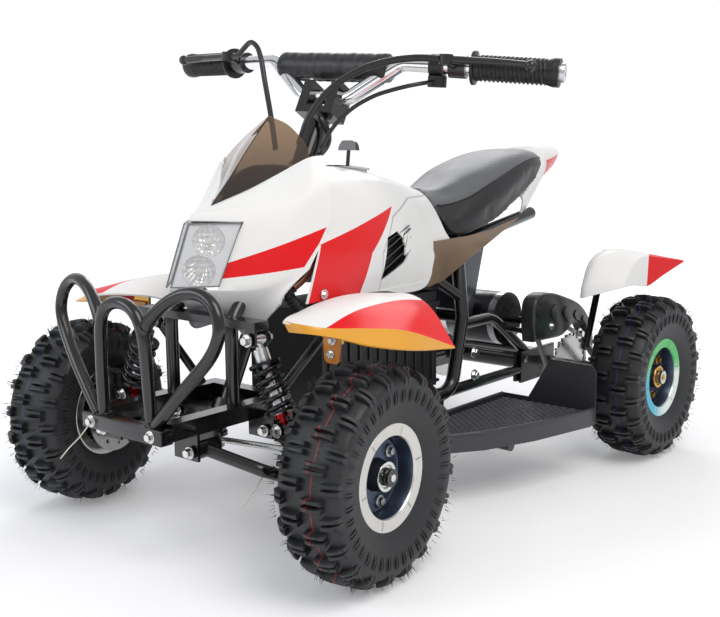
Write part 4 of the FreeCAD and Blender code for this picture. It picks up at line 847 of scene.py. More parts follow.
# Fenders
# Front: a wing over each wheel, white above, with a red decal and an orange edge folded down in front and
# outside. Rear: a short wing that wraps the tyre's front, with a red outer corner.
front_fender_net = [
    [(122, -350, 310), (140, -366, 316), (160, -390, 320), (176, -412, 322), (190, -431, 322)],
    [(122, -316, 318), (150, -322, 327), (180, -344, 330), (205, -368, 326), (226, -396, 313)],
    [(122, -282, 323), (158, -286, 333), (198, -300, 335), (236, -330, 328), (268, -374, 314)],
    [(122, -248, 324), (164, -250, 333), (212, -258, 334), (262, -276, 325), (303, -336, 309)],
    [(122, -215, 320), (166, -208, 328), (212, -210, 330), (262, -231, 317), (318, -262, 281)],
]
front_lip_net = [
    [row[-1] for row in front_fender_net],
    [(192, -424, 308), (236, -400, 304), (290, -392, 299), (320, -345, 290), (319, -262, 279)],
]
rear_fender_net = [
    [(204, 272, 274), (204, 274, 300), (207, 288, 328), (212, 318, 343), (214, 380, 340), (216, 455, 326)],
    [(222, 236, 276), (222, 240, 302), (226, 262, 335), (232, 306, 349), (238, 375, 343), (246, 462, 325)],
    [(240, 203, 279), (241, 210, 302), (246, 236, 335), (254, 284, 351), (264, 352, 343), (276, 456, 324)],
    [(272, 214, 289), (273, 222, 306), (276, 250, 333), (280, 296, 347), (288, 348, 340), (294, 452, 323)],
    [(298, 232, 297), (299, 240, 310), (300, 264, 333), (301, 300, 342), (303, 350, 336), (306, 446, 322)],
]
rear_lip_net = [
    rear_fender_net[-1],
    [(298, 231, 296), (299, 246, 297), (300, 272, 296), (301, 315, 291), (303, 372, 304), (306, 446, 320)],
]


def painted_wing(name, a, b, c, painted):
    """White ABS, red on the painted point's side of a plane through three points, alike on both sides."""
    a, b, c, painted = (np.array(p, float) for p in (a, b, c, painted))
    normal = unit(np.cross(b - a, c - a))
    normal = normal * np.sign((painted - a) @ normal)
    made, tree, spot = blank(name)
    split = add(tree, "SeparateXYZ", {0: spot}).outputs
    folded = add(tree, "CombineXYZ", {0: calc(tree, "ABSOLUTE", split[0]), 1: split[1], 2: split[2]})
    mask = calc(tree, "GREATER_THAN", inside(tree, folded, [(tuple(normal), float(normal @ a))]), 0.0)
    skin(tree, {"IOR": 1.4, "Specular IOR Level": 0.12, "Roughness": 0.36,
                "Base Color": blend(tree, mask, "ededec", red),
                "Normal": bump(tree, noise(tree, spot, 30.0, 1.0), 0.12, 0.6 * MM)})
    return made


front_abs = painted_wing("white ABS with wing decal",
                         (226, -402, 313), (236, -214, 323), (231, -320, 420), (310, -300, 305))
rear_abs = painted_wing("white ABS with corner decal",
                        (300, 318, 341), (230, 470, 324), (300, 314, 291), (300, 430, 325))
front_wing, front_edge = [patch(front_fender_net, 10)], [patch(front_lip_net, 10)]
rear_wing = [patch(rear_fender_net, 8), patch(rear_lip_net, 8)]
lip_orange = paint("orange moulded edge", "e9a52c", 0.24, coat=0.4, grain=60.0)
for side_name, s in (("left", 1), ("right", -1)):
    shell("front_wing_" + side_name, front_wing, (s * 220, -300, 250), 2.6, front_abs, "white_plastic",
          ("front_fender_" + side_name,), sides=(s,))
    shell("front_wing_edge_" + side_name, front_edge, (s * 220, -300, 330), 2.2, lip_orange, "orange_metal",
          sides=(s,))
    shell("rear_wing_" + side_name, rear_wing, (s * 250, 330, 200), 2.6, rear_abs, "white_plastic",
          ("rear_fender_" + side_name,), sides=(s,))

# Tail
# White moulding behind and under the seat that runs to a point, with a red decal on each corner of its top.
tail_net = [
    [(0, 300, 440), (30, 300, 440), (54, 300, 438), (66, 300, 432), (68, 300, 420), (62, 300, 396)],
    [(0, 350, 478), (28, 350, 478), (50, 350, 476), (62, 350, 470), (66, 350, 458), (54, 350, 426)],
    [(0, 392, 522), (22, 392, 521), (40, 392, 516), (55, 392, 506), (60, 392, 490), (52, 392, 464)],
    [(0, 430, 526), (20, 430, 525), (36, 430, 520), (48, 430, 510), (51, 430, 497), (44, 430, 478)],
    [(0, 480, 524), (14, 480, 523), (24, 480, 519), (32, 480, 511), (33, 480, 502), (27, 480, 490)],
    [(0, 535, 516), (1, 535, 516), (2, 534, 515), (3, 534, 514), (3, 533, 513), (2, 532, 512)],
]
tail_corner = ((396, 464), (520, 500), (520, 512), (393, 496))
tail_abs = moulding("white ABS with tail decal", [tail_corner])
tail_grid = patch(tail_net, 8)
shell("tail_shell", [tail_grid], (0, 420, 490), shell_wall, tail_abs, "white_plastic", ("tail_cowl",))

# Seat
# One foam saddle under tight vinyl: a smooth dark grey top, near-black sides and a corded seam between them.
# The covered foam is swelled as cloth, then held to a few millimetres, and the cord follows the swelled skin.
seat_net = np.array([
    [(0, 53, 458), (18, 45, 453), (36, 38, 444), (53, 36, 430), (68, 41, 408), (80, 58, 386)],
    [(0, 85, 454), (26, 84, 453), (48, 82, 446), (65, 80, 434), (78, 80, 411), (83, 84, 380)],
    [(0, 125, 465), (30, 125, 464), (54, 125, 458), (73, 124, 444), (84, 122, 418), (84, 122, 386)],
    [(0, 180, 485), (32, 180, 484), (58, 180, 478), (76, 180, 462), (85, 180, 434), (82, 182, 399)],
    [(0, 240, 502), (32, 240, 501), (56, 240, 495), (73, 240, 480), (81, 240, 455), (79, 242, 421)],
    [(0, 300, 513), (30, 300, 512), (52, 300, 507), (67, 300, 495), (74, 302, 475), (71, 306, 445)],
    [(0, 350, 517), (28, 350, 516), (47, 350, 511), (60, 352, 501), (66, 355, 486), (64, 356, 466)],
    [(0, 388, 515), (22, 389, 514), (38, 390, 510), (50, 390, 501), (57, 388, 490), (56, 384, 476)],
], float)
seat_steps = 8
seam_column = 3
cloth_frames = 20
seat_front_y = 50.0
seat_length = 338.0
net_front_y = 36.0
net_length = 354.0
seat_net[:, :, 1] = seat_front_y + (seat_net[:, :, 1] - net_front_y) * seat_length / net_length
half_grid = patch(seat_net, seat_steps)
outer_loop = np.concatenate([half_grid[:, :0:-1] * [-1, 1, 1], half_grid], 1)
foot = outer_loop[:, -1:]
share = np.linspace(0, 1, 9)[1:-1, None]
seat_loop = np.concatenate([outer_loop, foot * (1 - share) + foot * [-1, 1, 1] * share], 1)
saddle = new_mesh("seat_cushion", seat_loop, tube_faces(*seat_loop.shape[:2]))
outward(saddle)


def swell(piece, voxel, pressure, cap, stay_below):
    """Remeshes a closed pad, blows it up as cloth and holds each point to a cap of movement.

    Points whose normal looks down stay, because the pad rests there: their movement is scaled by how far the
    normal has turned up from stay_below.
    """
    bpy.context.view_layer.objects.active = piece
    remesh = piece.modifiers.new("even", "REMESH")
    remesh.mode = "VOXEL"
    remesh.voxel_size = voxel
    with bpy.context.temp_override(object=piece, active_object=piece):
        bpy.ops.object.modifier_apply(modifier=remesh.name)
    count = len(piece.data.vertices)
    start = np.empty(count * 3)
    piece.data.vertices.foreach_get("co", start)
    start = start.reshape(-1, 3)
    normals = np.array([v.normal[:] for v in piece.data.vertices])
    cloth = piece.modifiers.new("vinyl", "CLOTH")
    cloth.settings.use_pressure = True
    cloth.settings.uniform_pressure_force = pressure
    cloth.settings.effector_weights.gravity = 0.0
    cloth.settings.tension_stiffness = 30.0
    cloth.settings.compression_stiffness = 30.0
    cloth.settings.bending_stiffness = 4.0
    cloth.point_cache.frame_start = 1
    cloth.point_cache.frame_end = cloth_frames
    for frame_number in range(1, cloth_frames + 1):
        bpy.context.scene.frame_set(frame_number)
    blown = piece.evaluated_get(bpy.context.evaluated_depsgraph_get()).to_mesh()
    moved = np.empty(count * 3)
    blown.vertices.foreach_get("co", moved)
    move = moved.reshape(-1, 3) - start
    piece.to_mesh_clear()
    piece.modifiers.remove(cloth)
    bpy.context.scene.frame_set(1)
    far = np.linalg.norm(move, axis=1, keepdims=True)
    move = move * np.minimum(1.0, cap / np.maximum(far, 1e-9))
    done = start + move * np.clip((normals[:, 2:3] - stay_below) / 0.5, 0, 1)
    piece.data.vertices.foreach_set("co", done.ravel())
    piece.data.polygons.foreach_set("use_smooth", np.full(len(piece.data.polygons), True))
    piece.data.update()
    finer = piece.modifiers.new("round", "SUBSURF")
    finer.levels = 1
    finer.render_levels = 1
    return done


seat_points = swell(saddle, 5.0 * MM, 4.0, 3.0 * MM, -0.6)
seam_half = half_grid[:, seam_column * seat_steps]
seam_x, seam_z = (np.interp(seat_points[:, 1], seam_half[:, 1], seam_half[:, axis]) for axis in (0, 2))
store(saddle, "above_seam", (seat_points[:, 2] - seam_z - (np.abs(seat_points[:, 0]) - seam_x)) / MM)

# Vinyl on foam: fine leather-like grain, a satin grey top and darker sides, scuffed a little where one sits
vinyl, tree, spot = blank("coated vinyl")
grain = add(tree, "TexVoronoi", {"Scale": 700.0, "Vector": spot}).outputs["Distance"]
fold = noise(tree, spot, 26.0, 4.0)
top = calc(tree, "GREATER_THAN", add(tree, "Attribute", {"attribute_name": "above_seam"}).outputs["Fac"], 0.0)
skin(tree, {"IOR": 1.5, "Sheen Weight": 0.12, "Sheen Roughness": 0.4,
            "Roughness": spread(tree, fold, 0.36, 0.56),
            "Base Color": blend(tree, top, "1a1b1e", blend(tree, fold, "56585c", "66686c")),
            "Normal": bump(tree, grain, 0.2, 0.25 * MM, bump(tree, fold, 0.25, 1.4 * MM))})
settle(saddle, vinyl, "chassis", "seat_vinyl", ("seat",))


def hose(points, radius, sides=10, level=(0.05, 0.07, 1.0)):
    """Tube along points: rings of a circle turned square to the path, closed at both ends."""
    points = np.asarray(points, float)
    ahead = np.roll(points, -1, 0) - np.roll(points, 1, 0)
    ahead[0] = points[1] - points[0]
    ahead[-1] = points[-1] - points[-2]
    ahead = ahead / np.linalg.norm(ahead, axis=1, keepdims=True)
    aside = np.cross(ahead, level)
    aside = aside / np.linalg.norm(aside, axis=1, keepdims=True)
    radius = np.broadcast_to(radius, (len(points),))[:, None, None]
    rings = points[:, None] + radius * circle(aside, np.cross(aside, ahead), sides)
    return rings, tube_faces(len(points), sides)


cord_vinyl = paint("piping vinyl", "222326", 0.4, grain=900.0)
seat_skin = BVHTree.FromObject(saddle, bpy.context.evaluated_depsgraph_get())
pipes = []
for s in (1, -1):
    found = [seat_skin.find_nearest(Vector(p)) for p in seam_half[2:-1] * [s, 1, 1]]
    line = np.array([np.array(at) / MM + np.array(normal) * 0.3 for at, normal, _, _ in found])
    pipes.append(hose(smooth_line(line, 2), 1.5))
solid("seat_piping", pipes, cord_vinyl, "seat_vinyl")

# Handlebar, pad, grips and controls
# A chromed tube bar with a foam sleeve laced round its cross tube, soft rubber grips with wavy ribs and
# silver end caps, black levers and a thumb throttle. All of it turns with the column, parked a little left.
head_top = np.array([0.0, -158.0, 562.0])
rake = math.radians(27.0)
steer_axis = np.array([0.0, math.sin(rake), math.cos(rake)])
clamp_fore = np.array([0.0, math.cos(rake), -math.sin(rake)])
parked_turn = math.radians(8.0)


def steer_piece(name, parts, material, slot_name, degrees=32, replaced=()):
    """One object on the steering, its parts turned by the parked angle (Rodrigues' formula)."""
    c, s = math.cos(parked_turn), math.sin(parked_turn)
    turned = []
    for points, faces in parts:
        p = points - head_top
        p = p * c + np.cross(steer_axis, p) * s + steer_axis * (p @ steer_axis)[..., None] * (1 - c)
        turned.append((p + head_top, faces))
    return solid(name, turned, material, slot_name, replaced, degrees, "steering")


bar_height = 596.0
bar_middle = np.array([0.0, head_top[1] + (bar_height - head_top[2]) * math.tan(rake), bar_height])
bar_low = bar_middle + [40.0, 0, 0]
bar_rise = bar_middle + [112.0, 25.0, 52.0]
bar_tip = bar_middle + [332.0, 76.0, 45.0]
bar_run = unit(bar_tip - bar_rise)
cross_at = bar_low + (bar_rise - bar_low) * 0.86

# Pad: a foam sleeve in nylon cloth, a little waisted in the middle, gathered at its ends, sewn along below
pad_half = 97.0
pad_radius = 21.2
pad_seam = math.radians(250)
along, around = np.meshgrid(np.linspace(-1, 1, 96), turns(56), indexing="ij")
end_round = np.clip((1 - np.abs(along)) / 0.09, 0, 1)
radius = pad_radius * (0.60 + 0.40 * np.sqrt(1 - (1 - end_round) ** 2))
radius += 0.35 * np.sin(around * 3 + along * 7) * np.cos(along * 17)
radius += 0.25 * np.sin(along * 41 + np.sin(around * 2))
radius += 0.7 * np.sin(around * 14) * (1 - end_round)
radius -= 2.2 * np.exp(-(np.angle(np.exp(1j * (around - pad_seam))) / 0.10) ** 2)
rings = [along * pad_half, cross_at[1] + radius * np.cos(around), cross_at[2] + radius * np.sin(around)]
nylon, tree, spot = blank("nylon sleeve")
weave = add(tree, "TexWave", {"Scale": 500.0, "Distortion": 1.0, "bands_direction": "DIAGONAL",
                              "Vector": spot})
folds = add(tree, "TexNoise", {"Scale": 45.0, "Detail": 5.0, "Roughness": 0.6, "Vector": spot})
skin(tree, {"IOR": 1.5, "Sheen Weight": 0.1, "Base Color": blend(tree, folds, "101012", "1d1e21"),
            "Roughness": spread(tree, folds, 0.26, 0.5),
            "Normal": bump(tree, weave.outputs["Fac"], 0.1, 0.2 * MM, bump(tree, folds, 0.5, 2.0 * MM))})
sleeve = (np.stack(rings, -1), tube_faces(*along.shape))
pad = steer_piece("bar_sleeve", [sleeve], nylon, "foam", 60, ("bar_pad",))

# Grips: ribs that wave round the rubber, a flange at the inner end and a silver plug in the outer one
grip_length = 122.0
rib_pitch = 6.0
rib_from = 0.09
rib_to = 0.86


def lathe(at, way, profile, sides, level=(0.0, 0.0, 1.0)):
    """Surface of revolution about a line in millimetres: the profile gives places along it and radii."""
    s, r = np.asarray(profile, float).T
    aside = unit(np.cross(way, level))
    rings = at + way * s[:, None, None] + r[:, None, None] * circle(aside, np.cross(aside, way), sides)
    return rings, tube_faces(len(s), sides)


grip_rubber = paint("thermoplastic rubber", "141517", 0.42, grain=1200.0, relief_mm=0.1)
cap_metal = metal("satin alloy plug", "c9cbcd", 0.24)
plug_line = [(-1.0, 13.4), (5.0, 13.4), (6.2, 12.9), (7.0, 11.6), (7.0, 5.0), (6.4, 4.4), (6.4, 0.1)]
grips, plugs = [], []
u, w = np.meshgrid(np.linspace(0, 1, 150), turns(72), indexing="ij")
body = np.interp(u, [0, 0.001, 0.04, 0.045, rib_from, rib_to, 0.93, 1.0],
                 [15, 23.6, 23.6, 18.4, 17.3, 17.3, 19.8, 19.6])
wave = np.sin(u * grip_length * 2 * math.pi / rib_pitch + 1.6 * np.sin(w * 2))
ribbed = np.clip((u - rib_from) / 0.02, 0, 1) * np.clip((rib_to - u) / 0.02, 0, 1)
body += ribbed * 0.9 * np.clip(wave * 2.2, -1, 1)
for s in (1, -1):
    run, tip = bar_run * [s, 1, 1], bar_tip * [s, 1, 1]
    aside = unit(np.cross(run, [0, 0, 1.0]))
    spokes = circle(aside, np.cross(aside, run), 72)
    rings = tip + run * ((u - 1) * grip_length)[..., None] + body[..., None] * spokes
    grips.append((rings, tube_faces(*rings.shape[:2])))
    plugs.append(lathe(tip, run, plug_line, 40))
steer_piece("grip_rubbers", grips, grip_rubber, "grip_rubber", 50, ("grips",))
steer_piece("grip_plugs", plugs, cap_metal, "grey_steel", 30)
lever_black = paint("black anodised lever", "131315", 0.28, coat=0.3, grain=500.0)
dress("levers", lever_black)
dress("throttle", moulded_black, 30)
dress("cables", paint("extruded black sheath", "111113", 0.33, coat=0.15, grain=300.0), 40)

# Clamp screws: socket heads on the clamps of the bar
screw_line = [(0, 4.2), (2.6, 4.2), (3.2, 3.6), (3.2, 2.2), (1.2, 1.9), (1.2, 0.1)]
screws = [lathe(bar_middle + [x, 0, 0] + clamp_fore * fore + steer_axis * 18.4, steer_axis, screw_line, 24)
          for x in (24.0, -24.0) for fore in (14.5, -14.5)]
steer_piece("clamp_screws", screws, zinc, "grey_steel", 30)

# Shocks
# Coil-over shocks: chromed eye and rod, a black enamelled spring of few turns, silver body and red collar.
shock_top = np.array([107.0, -395.0, 286.0])
shock_foot = np.array([156.0, -395.0, 178.0])
coil_radius = 12.0
line_run = np.abs(shock_foot) - np.abs(shock_top)
line_long = float(np.linalg.norm(line_run))
line_way = tuple(line_run / line_long)
coil_over, tree, spot = blank("enamelled spring on a chromed damper")
from_top = vector_calc(tree, "SUBTRACT", vector_calc(tree, "ABSOLUTE", spot), tuple(np.abs(shock_top) * MM))
down = vector_calc(tree, "DOT_PRODUCT", from_top, line_way).outputs["Value"]
turned = vector_calc(tree, "CROSS_PRODUCT", from_top, line_way)
off_line = vector_calc(tree, "LENGTH", turned).outputs["Value"]
is_coil = calc(tree, "GREATER_THAN", off_line, coil_radius * MM)
shade = blend(tree, calc(tree, "GREATER_THAN", down, 0.84 * line_long * MM), "b9bcc0", "9c1c20")
shade = blend(tree, calc(tree, "LESS_THAN", down, 0.24 * line_long * MM), shade, "e4e6e8")
skin(tree, {"Base Color": blend(tree, is_coil, shade, "111113"),
            "Metallic": calc(tree, "SUBTRACT", 1.0, is_coil),
            "Roughness": spread(tree, noise(tree, spot, 60.0, 3.0), 0.12, 0.3)})
dress("front_shocks", coil_over, 30)

# Panels below the seat
# Two flat side cheeks of bronze-painted steel, tucked under the cover's flank, and a blue-grey battery tray.
cheek_x = 86.5 * MM
panel_paint, tree, spot = blank("bronze and blue-grey enamel")
half_x = add(tree, "SeparateXYZ", {0: vector_calc(tree, "ABSOLUTE", spot)}).outputs[0]
bronze = blend(tree, noise(tree, spot, 9.0, 3.0), "5c4a38", "927a5e")
skin(tree, {"Metallic": 0.45, "Roughness": 0.24, "Coat Weight": 0.4, "Coat Roughness": 0.08,
            "Base Color": blend(tree, calc(tree, "GREATER_THAN", half_x, cheek_x), "3a3f48", bronze)})
dress("under_panel", panel_paint, 30)

# Dial and key
# A round gauge under a flat glass, with plain marks, a green and a red band, and the key's half-round grip.
dial_y = -95.0 * MM
dial_z = 487.0 * MM
tick_count = 24.0
gauge, tree, spot = blank("printed gauge face")
centred = add(tree, "Mapping", {"Location": (0, -dial_y, -dial_z), "Vector": spot})
place = add(tree, "SeparateXYZ", {0: centred}).outputs
flat = add(tree, "CombineXYZ", {0: place[0], 1: place[1]})
far = vector_calc(tree, "LENGTH", flat).outputs["Value"]
angle = calc(tree, "ARCTAN2", place[0], place[1])
tick = calc(tree, "GREATER_THAN", calc(tree, "COSINE", calc(tree, "MULTIPLY", angle, tick_count)), 0.8)
ticks = calc(tree, "MULTIPLY", calc(tree, "COMPARE", far, 20.5 * MM, 2.0 * MM), tick)
halves = blend(tree, calc(tree, "GREATER_THAN", angle, 0.0), "1f9c4b", "c8202a")
shade = blend(tree, calc(tree, "COMPARE", far, 25.5 * MM, 2.2 * MM), "e6e8e6", halves)
for mask, code in ((ticks, "17181a"), (calc(tree, "GREATER_THAN", far, 29.0 * MM), "d3d5d8"),
                   (calc(tree, "GREATER_THAN", place[2], 9.0 * MM), "141416")):
    shade = blend(tree, mask, shade, code)
skin(tree, {"Roughness": 0.16, "Coat Weight": 0.6, "Coat Roughness": 0.03, "Base Color": shade})
dress("dial", gauge, 30)

# Motor, chain and footrests
# A black motor can with pressed end caps of bright steel; an oiled chain; footrests of grey-black
# polypropylene with a soft sheen.
motor_skin, tree, spot = blank("black can with bright end caps")
x = add(tree, "SeparateXYZ", {0: spot}).outputs[0]
left_cap = calc(tree, "COMPARE", x, 73.0 * MM, 6.4 * MM)
caps = calc(tree, "MAXIMUM", left_cap, calc(tree, "LESS_THAN", x, -2.0 * MM))
skin(tree, {"Base Color": blend(tree, caps, "131315", "b4b6ba"), "Metallic": caps,
            "Roughness": spread(tree, noise(tree, spot, 80.0, 4.0), 0.16, 0.36)})
dress("motor", motor_skin, 30)
tray_plastic = paint("satin polypropylene", "34353a", 0.34, coat=0.15, grain=700.0, relief_mm=0.1)
for name in ("footrest_left", "footrest_right"):
    dress(name, tray_plastic, 28)
dress("chain", metal("oiled chain steel", "8d8b84", 0.32, grain=500.0, wear=0.3), 25)

# Battery box ribs
# The box is moulded with upright ribs and two lips that stand out along each side.
rib_black = paint("ribbed polypropylene", "1a1b1e", 0.4, coat=0.1, grain=600.0, relief_mm=0.12)
(_, low_y, low_z), (side_x, high_y, high_z) = (np.array(corner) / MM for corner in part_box("battery_box"))


def block(x, y, z):
    """Upright block between two places on each axis, in millimetres."""
    return np.array([[i, j, k] for i in sorted(x) for j in y for k in z], float), box_faces


rib_blocks = []
for s in (1, -1):
    root = s * (side_x - 0.5)
    for y in np.linspace(low_y + 14, high_y - 14, 12):
        rib_blocks.append(block((root, s * (side_x + 3.2)), (y - 1.6, y + 1.6), (low_z + 12, high_z - 26)))
    for z in ((high_z - 24, high_z - 16), (low_z + 6, low_z + 11)):
        rib_blocks.append(block((root, s * (side_x + 5.0)), (low_y - 2, high_y + 2), z))
solid("battery_box_ribs", rib_blocks, rib_black, "dark_plastic", smooth=False, rounded=(0.7, 2))

# Bumper
# Three hoops of bent steel tube welded onto a square bar that is bolted across the ends of the frame rails,
# powder coated with the frame. Each hoop is a smooth line through points, swept with a circle.
bar_centre = np.array([0.0, -522.0, 180.0])
tube_radius = 8.0
centre_line = [(48, 3, 2), (47, 1, 50), (45, 0, 96), (42.5, -1, 122), (35, -2, 142), (20, -2, 154.5),
               (0, -2, 158.5)]
centre_line += [(-x, y, z) for x, y, z in centre_line[-2::-1]]
side_line = [(50, 0, 2), (80, 3, 34), (112, 8, 68), (141, 15, 100), (155, 18, 124), (157, 20, 144),
             (147, 21, 164), (126, 20, 176), (100, 15, 175), (74, 9, 162), (54, 3, 143), (43, 0, 124)]


def bead_ring(at, way, big, small):
    """Welding bead: a ring about a tube, its thickness waved as the weld pool leaves it."""
    way = unit(np.asarray(way, float))
    aside = unit(np.cross(way, [0.3, 0.2, 0.9]))
    a, b = np.meshgrid(turns(60), turns(8), indexing="ij")
    thick = small * (1 + 0.18 * np.sin(a * 15))
    spokes = circle(aside, np.cross(way, aside), 60)[:, None]
    rings = (big + thick * np.cos(b))[..., None] * spokes + (thick * np.sin(b))[..., None] * way
    return bar_centre + at + rings, grid_faces(60, 8, close_rows=True, close_cols=True)


bar_block = block((-80.0, 80.0), (-532.0, -512.0), (170.0, 190.0))
solid("bumper_bar", [bar_block], powder_black, "black_steel", (), 40, rounded=(2.0, 3))
hoops = [hose(bar_centre + smooth_line(line, 9), tube_radius, 20, (0.05, 1.0, 0.07))
         for line in (centre_line, side_line, [(-x, y, z) for x, y, z in side_line])]
for s in (1, -1):
    hoops += [bead_ring([s * 48, 3, 10.5], (0, 0, 1), 8.3, 1.7),
              bead_ring([s * 57, 1, 10.5], (s * 0.6, 0, 0.8), 8.6, 1.6),
              bead_ring([s * 46, 0, 130], (s * 0.6, 0.15, 0.8), 8.2, 1.6)]
solid("bumper_hoops", hoops, powder_black, "black_steel", ("front_bumper",), 50)

# Chain guard
# A hood of glass-filled nylon over the chain, rounded at its outer edge, with curved slots in its face drawn
# as marks of painted shadow.
guard_black = paint("glass-filled nylon", "232528", 0.36, coat=0.2, grain=600.0, relief_mm=0.12)
guard_from = 132.0
guard_to = 158.0
guard_top = [(200, 196), (195, 232), (199, 262), (214, 273), (236, 276), (268, 272), (300, 263), (328, 254),
             (352, 244), (374, 229), (391, 210), (402, 188), (406, 168), (404, 152)]
guard_under = [(392, 152), (389, 170), (380, 190), (366, 206), (348, 213), (328, 210), (308, 200), (286, 194),
               (240, 195)]
outline = np.concatenate([smooth_line(guard_top, 5), smooth_line(guard_under, 5)])
count = len(outline)
ahead = np.roll(outline, -1, 0) - np.roll(outline, 1, 0)
inward = np.stack([ahead[:, 1], -ahead[:, 0]], 1) / np.linalg.norm(ahead, axis=1, keepdims=True)
rings = [np.insert(outline + inward * inset, 0, x, 1) for x, inset in (
    (guard_from, 0.0), (guard_to - 6.0, 0.0), (guard_to - 2.6, 0.8), (guard_to - 0.8, 2.4), (guard_to, 5.0))]
hood_faces = tube_faces(len(rings), count)
del hood_faces[-2]
solid("guard_hood", [(rings, hood_faces)], guard_black, "dark_plastic", ("chain_guard",), 35, wall=2.6)
# Slots: thin marks in painted shadow black, standing about the hood's face where the slots fall into shade
slot_marks = []
t = np.linspace(0, 1, 17)
half = 2.6 * np.sin(np.pi * np.clip(t, 0.04, 0.96))
for tips in (((216, 260), (201, 247), (217, 231)), ((262, 254), (247, 241), (266, 222)),
             ((303, 245), (290, 235), (308, 217)), ((338, 235), (329, 226), (346, 211)),
             ((364, 221), (358, 215), (372, 203))):
    a, b, c = np.array(tips, float)[:, :, None]
    y, z = (1 - t) ** 2 * a + 2 * t * (1 - t) * (2 * b - (a + c) / 2) + t ** 2 * c
    grid = [np.stack([np.full(17, guard_to + proud), y + half * wide, z], 1)
            for proud, wide in ((0.35, -1.0), (1.9, 0.6), (0.35, 1.0), (-1.5, 0.0))]
    slot_marks.append((grid, grid_faces(4, 17, close_rows=True)))
solid("guard_slots", slot_marks, slit_shadow_black, "dark_plastic", smooth=False)

# Footrest mats
# A ribbed mat lies in each footrest, its ribs crossing in small diamonds, and the tray's rim is rolled over.
mat_grey = paint("grey-black rubber mat", "5c5e62", 0.4, coat=0.1, grain=500.0)
mat_outline = np.array([(121.5, -110.5), (193.8, -110.5), (228.1, -59.8), (259.9, 25.2), (285.6, 142.5),
                        (285.6, 161.5), (121.5, 161.5)])
mat_floor = 93.2
mat_top = 103.0
mat_middle = np.array([200.0, 20.0])
rib_spacing = 9.5
rib_section = ((-1.1, -0.3), (-0.66, 3.2), (0.66, 3.2), (1.1, -0.3))


def clipped(origin, way):
    """Places where a straight line enters and leaves the mat's convex outline."""
    low, high = -1e9, 1e9
    for a, b in zip(mat_outline, np.roll(mat_outline, -1, 0)):
        inner = np.array([-(b - a)[1], (b - a)[0]])
        rate, start = inner @ way, inner @ (origin - a)
        if rate > 0:
            low = max(low, -start / rate)
        else:
            high = min(high, -start / rate)
    return low, high


mat_parts = []
for s in (1, -1):
    points, faces = prism(mat_outline, 2, mat_floor, mat_top)
    mat_parts.append((points * [s, 1, 1], faces))
    for lean in (math.radians(38), math.radians(142)):
        way = np.array([math.cos(lean), math.sin(lean)])
        cross = np.array([-way[1], way[0]])
        for step in range(-20, 22):
            origin = mat_middle + cross * step * rib_spacing
            low, high = clipped(origin, way)
            if high - low > 3:
                rings = [np.append(origin + way * at + cross * w, mat_top + z) * [s, 1, 1]
                         for at in (low + 1.5, high - 1.5) for w, z in rib_section]
                mat_parts.append((rings, tube_faces(2, 4)))
solid("footrest_mats", mat_parts, mat_grey, "dark_plastic", smooth=False)
roll_line = [(119, 160), (119, 60), (119, -40), (119, -108), (126, -113), (160, -113), (188, -112),
             (200, -106), (215, -84), (230.5, -61), (247, -18), (262, 23.5), (276, 82), (287.5, 140),
             (288, 160)]
roll_path = np.insert(smooth_line(roll_line, 5), 2, 111.4, 1)
rolls = [hose(roll_path * [s, 1, 1], 3.1, 12) for s in (1, -1)]
solid("footrest_rims", rolls, tray_plastic, "dark_plastic", (), 50)

# Wing brackets and cable ties
# The orange bracket of each front wing runs down to a second bolt, and two white nylon ties keep their tails.
bracket_orange = paint("orange enamelled bracket", "e08a2a", 0.3, coat=0.3, grain=300.0)
tie_nylon = paint("natural nylon tie", "dcd8c6", 0.4, coat=0.1, grain=400.0)
plate_outline = [(177, 302), (208, 302), (205, 262), (200, 257), (184, 257), (179, 262)]
points, faces = prism(plate_outline, 1, -348.6, -345.4)
plates = [(points * [s, 1, 1], faces) for s in (1, -1)]
solid("wing_bracket_plates", plates, bracket_orange, "orange_metal", smooth=False, rounded=(0.8, 2))
tie_lines = (((-56, -533, 186), (-58, -536, 178), (-72, -541, 160), (-92, -545, 142), (-111, -547, 124)),
             ((157, -424, 136), (156, -440, 124), (148, -446, 108), (138, -449, 93), (127, -451, 80)))
ties = [hose(smooth_line(line, 5), 0.9, 8) for line in tie_lines]
solid("cable_tie_tails", ties, tie_nylon, "white_plastic")

# Column lever and cover strap
# A hooked black hand lever hangs from the column below the clamps. Between cowl and cover a copper-brown
# strap and a corrugated black sleeve run down into the dark on each side.
flat_level = (1.0, 0.05, 0.07)
hook_path = smooth_line([(12, -176, 574), (25, -180, 564), (32, -174, 549), (33, -172, 534), (31, -178, 521),
                         (30, -192, 512), (29, -208, 511)], 6)
hook_share = np.linspace(0, 1, len(hook_path))
hook_radius = np.interp(hook_share, [0, 0.25, 0.8, 0.93, 1.0], [7.0, 4.6, 3.4, 4.8, 3.6])
hook = hose(hook_path, hook_radius, 14, flat_level)
solid("column_lever", [hook], lever_black, "black_steel", (), 50, "steering")
strap_copper = paint("copper-brown strap", "7a4326", 0.34, coat=0.3, grain=300.0)
strap_line = [(97, -262, 388), (97, -273, 374), (97, -285, 361), (97, -302, 349), (95, -316, 341)]
strap_path = smooth_line(strap_line, 8)
sleeve_line = [(95, -318, 341), (93, -321, 331), (92, -309, 318), (91, -295, 304), (90, -284, 292)]
sleeve_path = smooth_line(sleeve_line, 16)
sleeve_radius = 7.0 + 1.0 * np.sign(np.sin(np.arange(len(sleeve_path)) * math.pi / 3.0))
straps = [hose(strap_path * [s, 1, 1], 5.5, 14, flat_level) for s in (1, -1)]
sleeves = [hose(sleeve_path * [s, 1, 1], sleeve_radius, 16, flat_level) for s in (1, -1)]
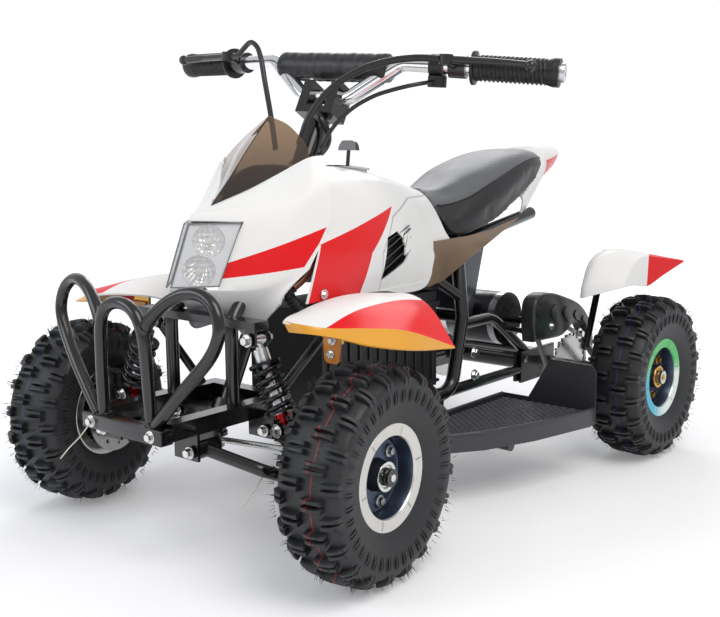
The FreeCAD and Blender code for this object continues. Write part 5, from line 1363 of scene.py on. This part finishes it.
solid("cover_straps", straps, strap_copper, "orange_metal", (), 50)
solid("cover_sleeves", sleeves, moulded_black, "dark_plastic", (), 50)

# Bolts
# Zinc-plated hexagon bolts with plain washers where the frame, arms, bumper, guard and brackets are screwed
# together, and screws with a ring in the cover and the guard.


def bolted(name, sets, sides=(1, -1)):
    """One object from many bolts of (place, direction, size across flats, washer radius)."""
    parts = []
    for at, way, across_flats, washer in sets:
        r = across_flats / math.sqrt(3)
        tall = 1.4 + across_flats * 0.6
        ring = [(-0.6, washer), (1.0, washer), (1.4, washer - 0.5), (1.4, r)]
        head = [(1.3, r), (1.4 + across_flats * 0.6 * 0.85, r), (tall, r * 0.88), (tall, 0.4)]
        for s in sides:
            line = np.array(at) * [s, 1, 1], np.array(way, float) * [s, 1, 1]
            parts.append(lathe(*line, ring, 28, bolt_level))
            parts.append(lathe(*line, head, 6, bolt_level))
    solid(name, parts, bright_zinc, "grey_steel", (), 28)


bolt_level = (0.31, 0.17, 0.93)
frame_bolts = [((104.0, 97.0, 190.0), (1, 0, 0), 10.0, 9.0), ((104.5, 97.0, 152.0), (1, 0, 0), 10.0, 9.0),
               ((96.0, 262.0, 150.0), (1, 0, 0), 10.0, 8.5), ((60.0, -531.5, 180.0), (0, -1, 0), 9.0, 8.0)]
for way in (-1, 1):
    frame_bolts += [((88.0, y + way * 23.0, 157.0), (0, way, 0), 10.0, 8.0) for y in (-472.0, -345.0)]
    frame_bolts += [(eye + [0, way * 17.0, 0], (0, way, 0), 10.0, 8.5) for eye in (shock_top, shock_foot)]
bolted("frame_bolts", frame_bolts)
bolted("bracket_bolts", [((194.0, -348.6, 287.0), (0, -1, 0), 7.0, 6.0),
                         ((191.0, -348.6, 269.0), (0, -1, 0), 7.0, 6.0)])
bolted("guard_bolts", [((158.0, 250.0, 218.0), (1, 0, 0), 6.0, 6.5),
                       ((158.0, 350.0, 190.0), (1, 0, 0), 11.0, 10.0)], (1,))
bolted("cover_screws", [((121.0, -283.0, 331.0), (1, 0, 0), 5.5, 7.0)])
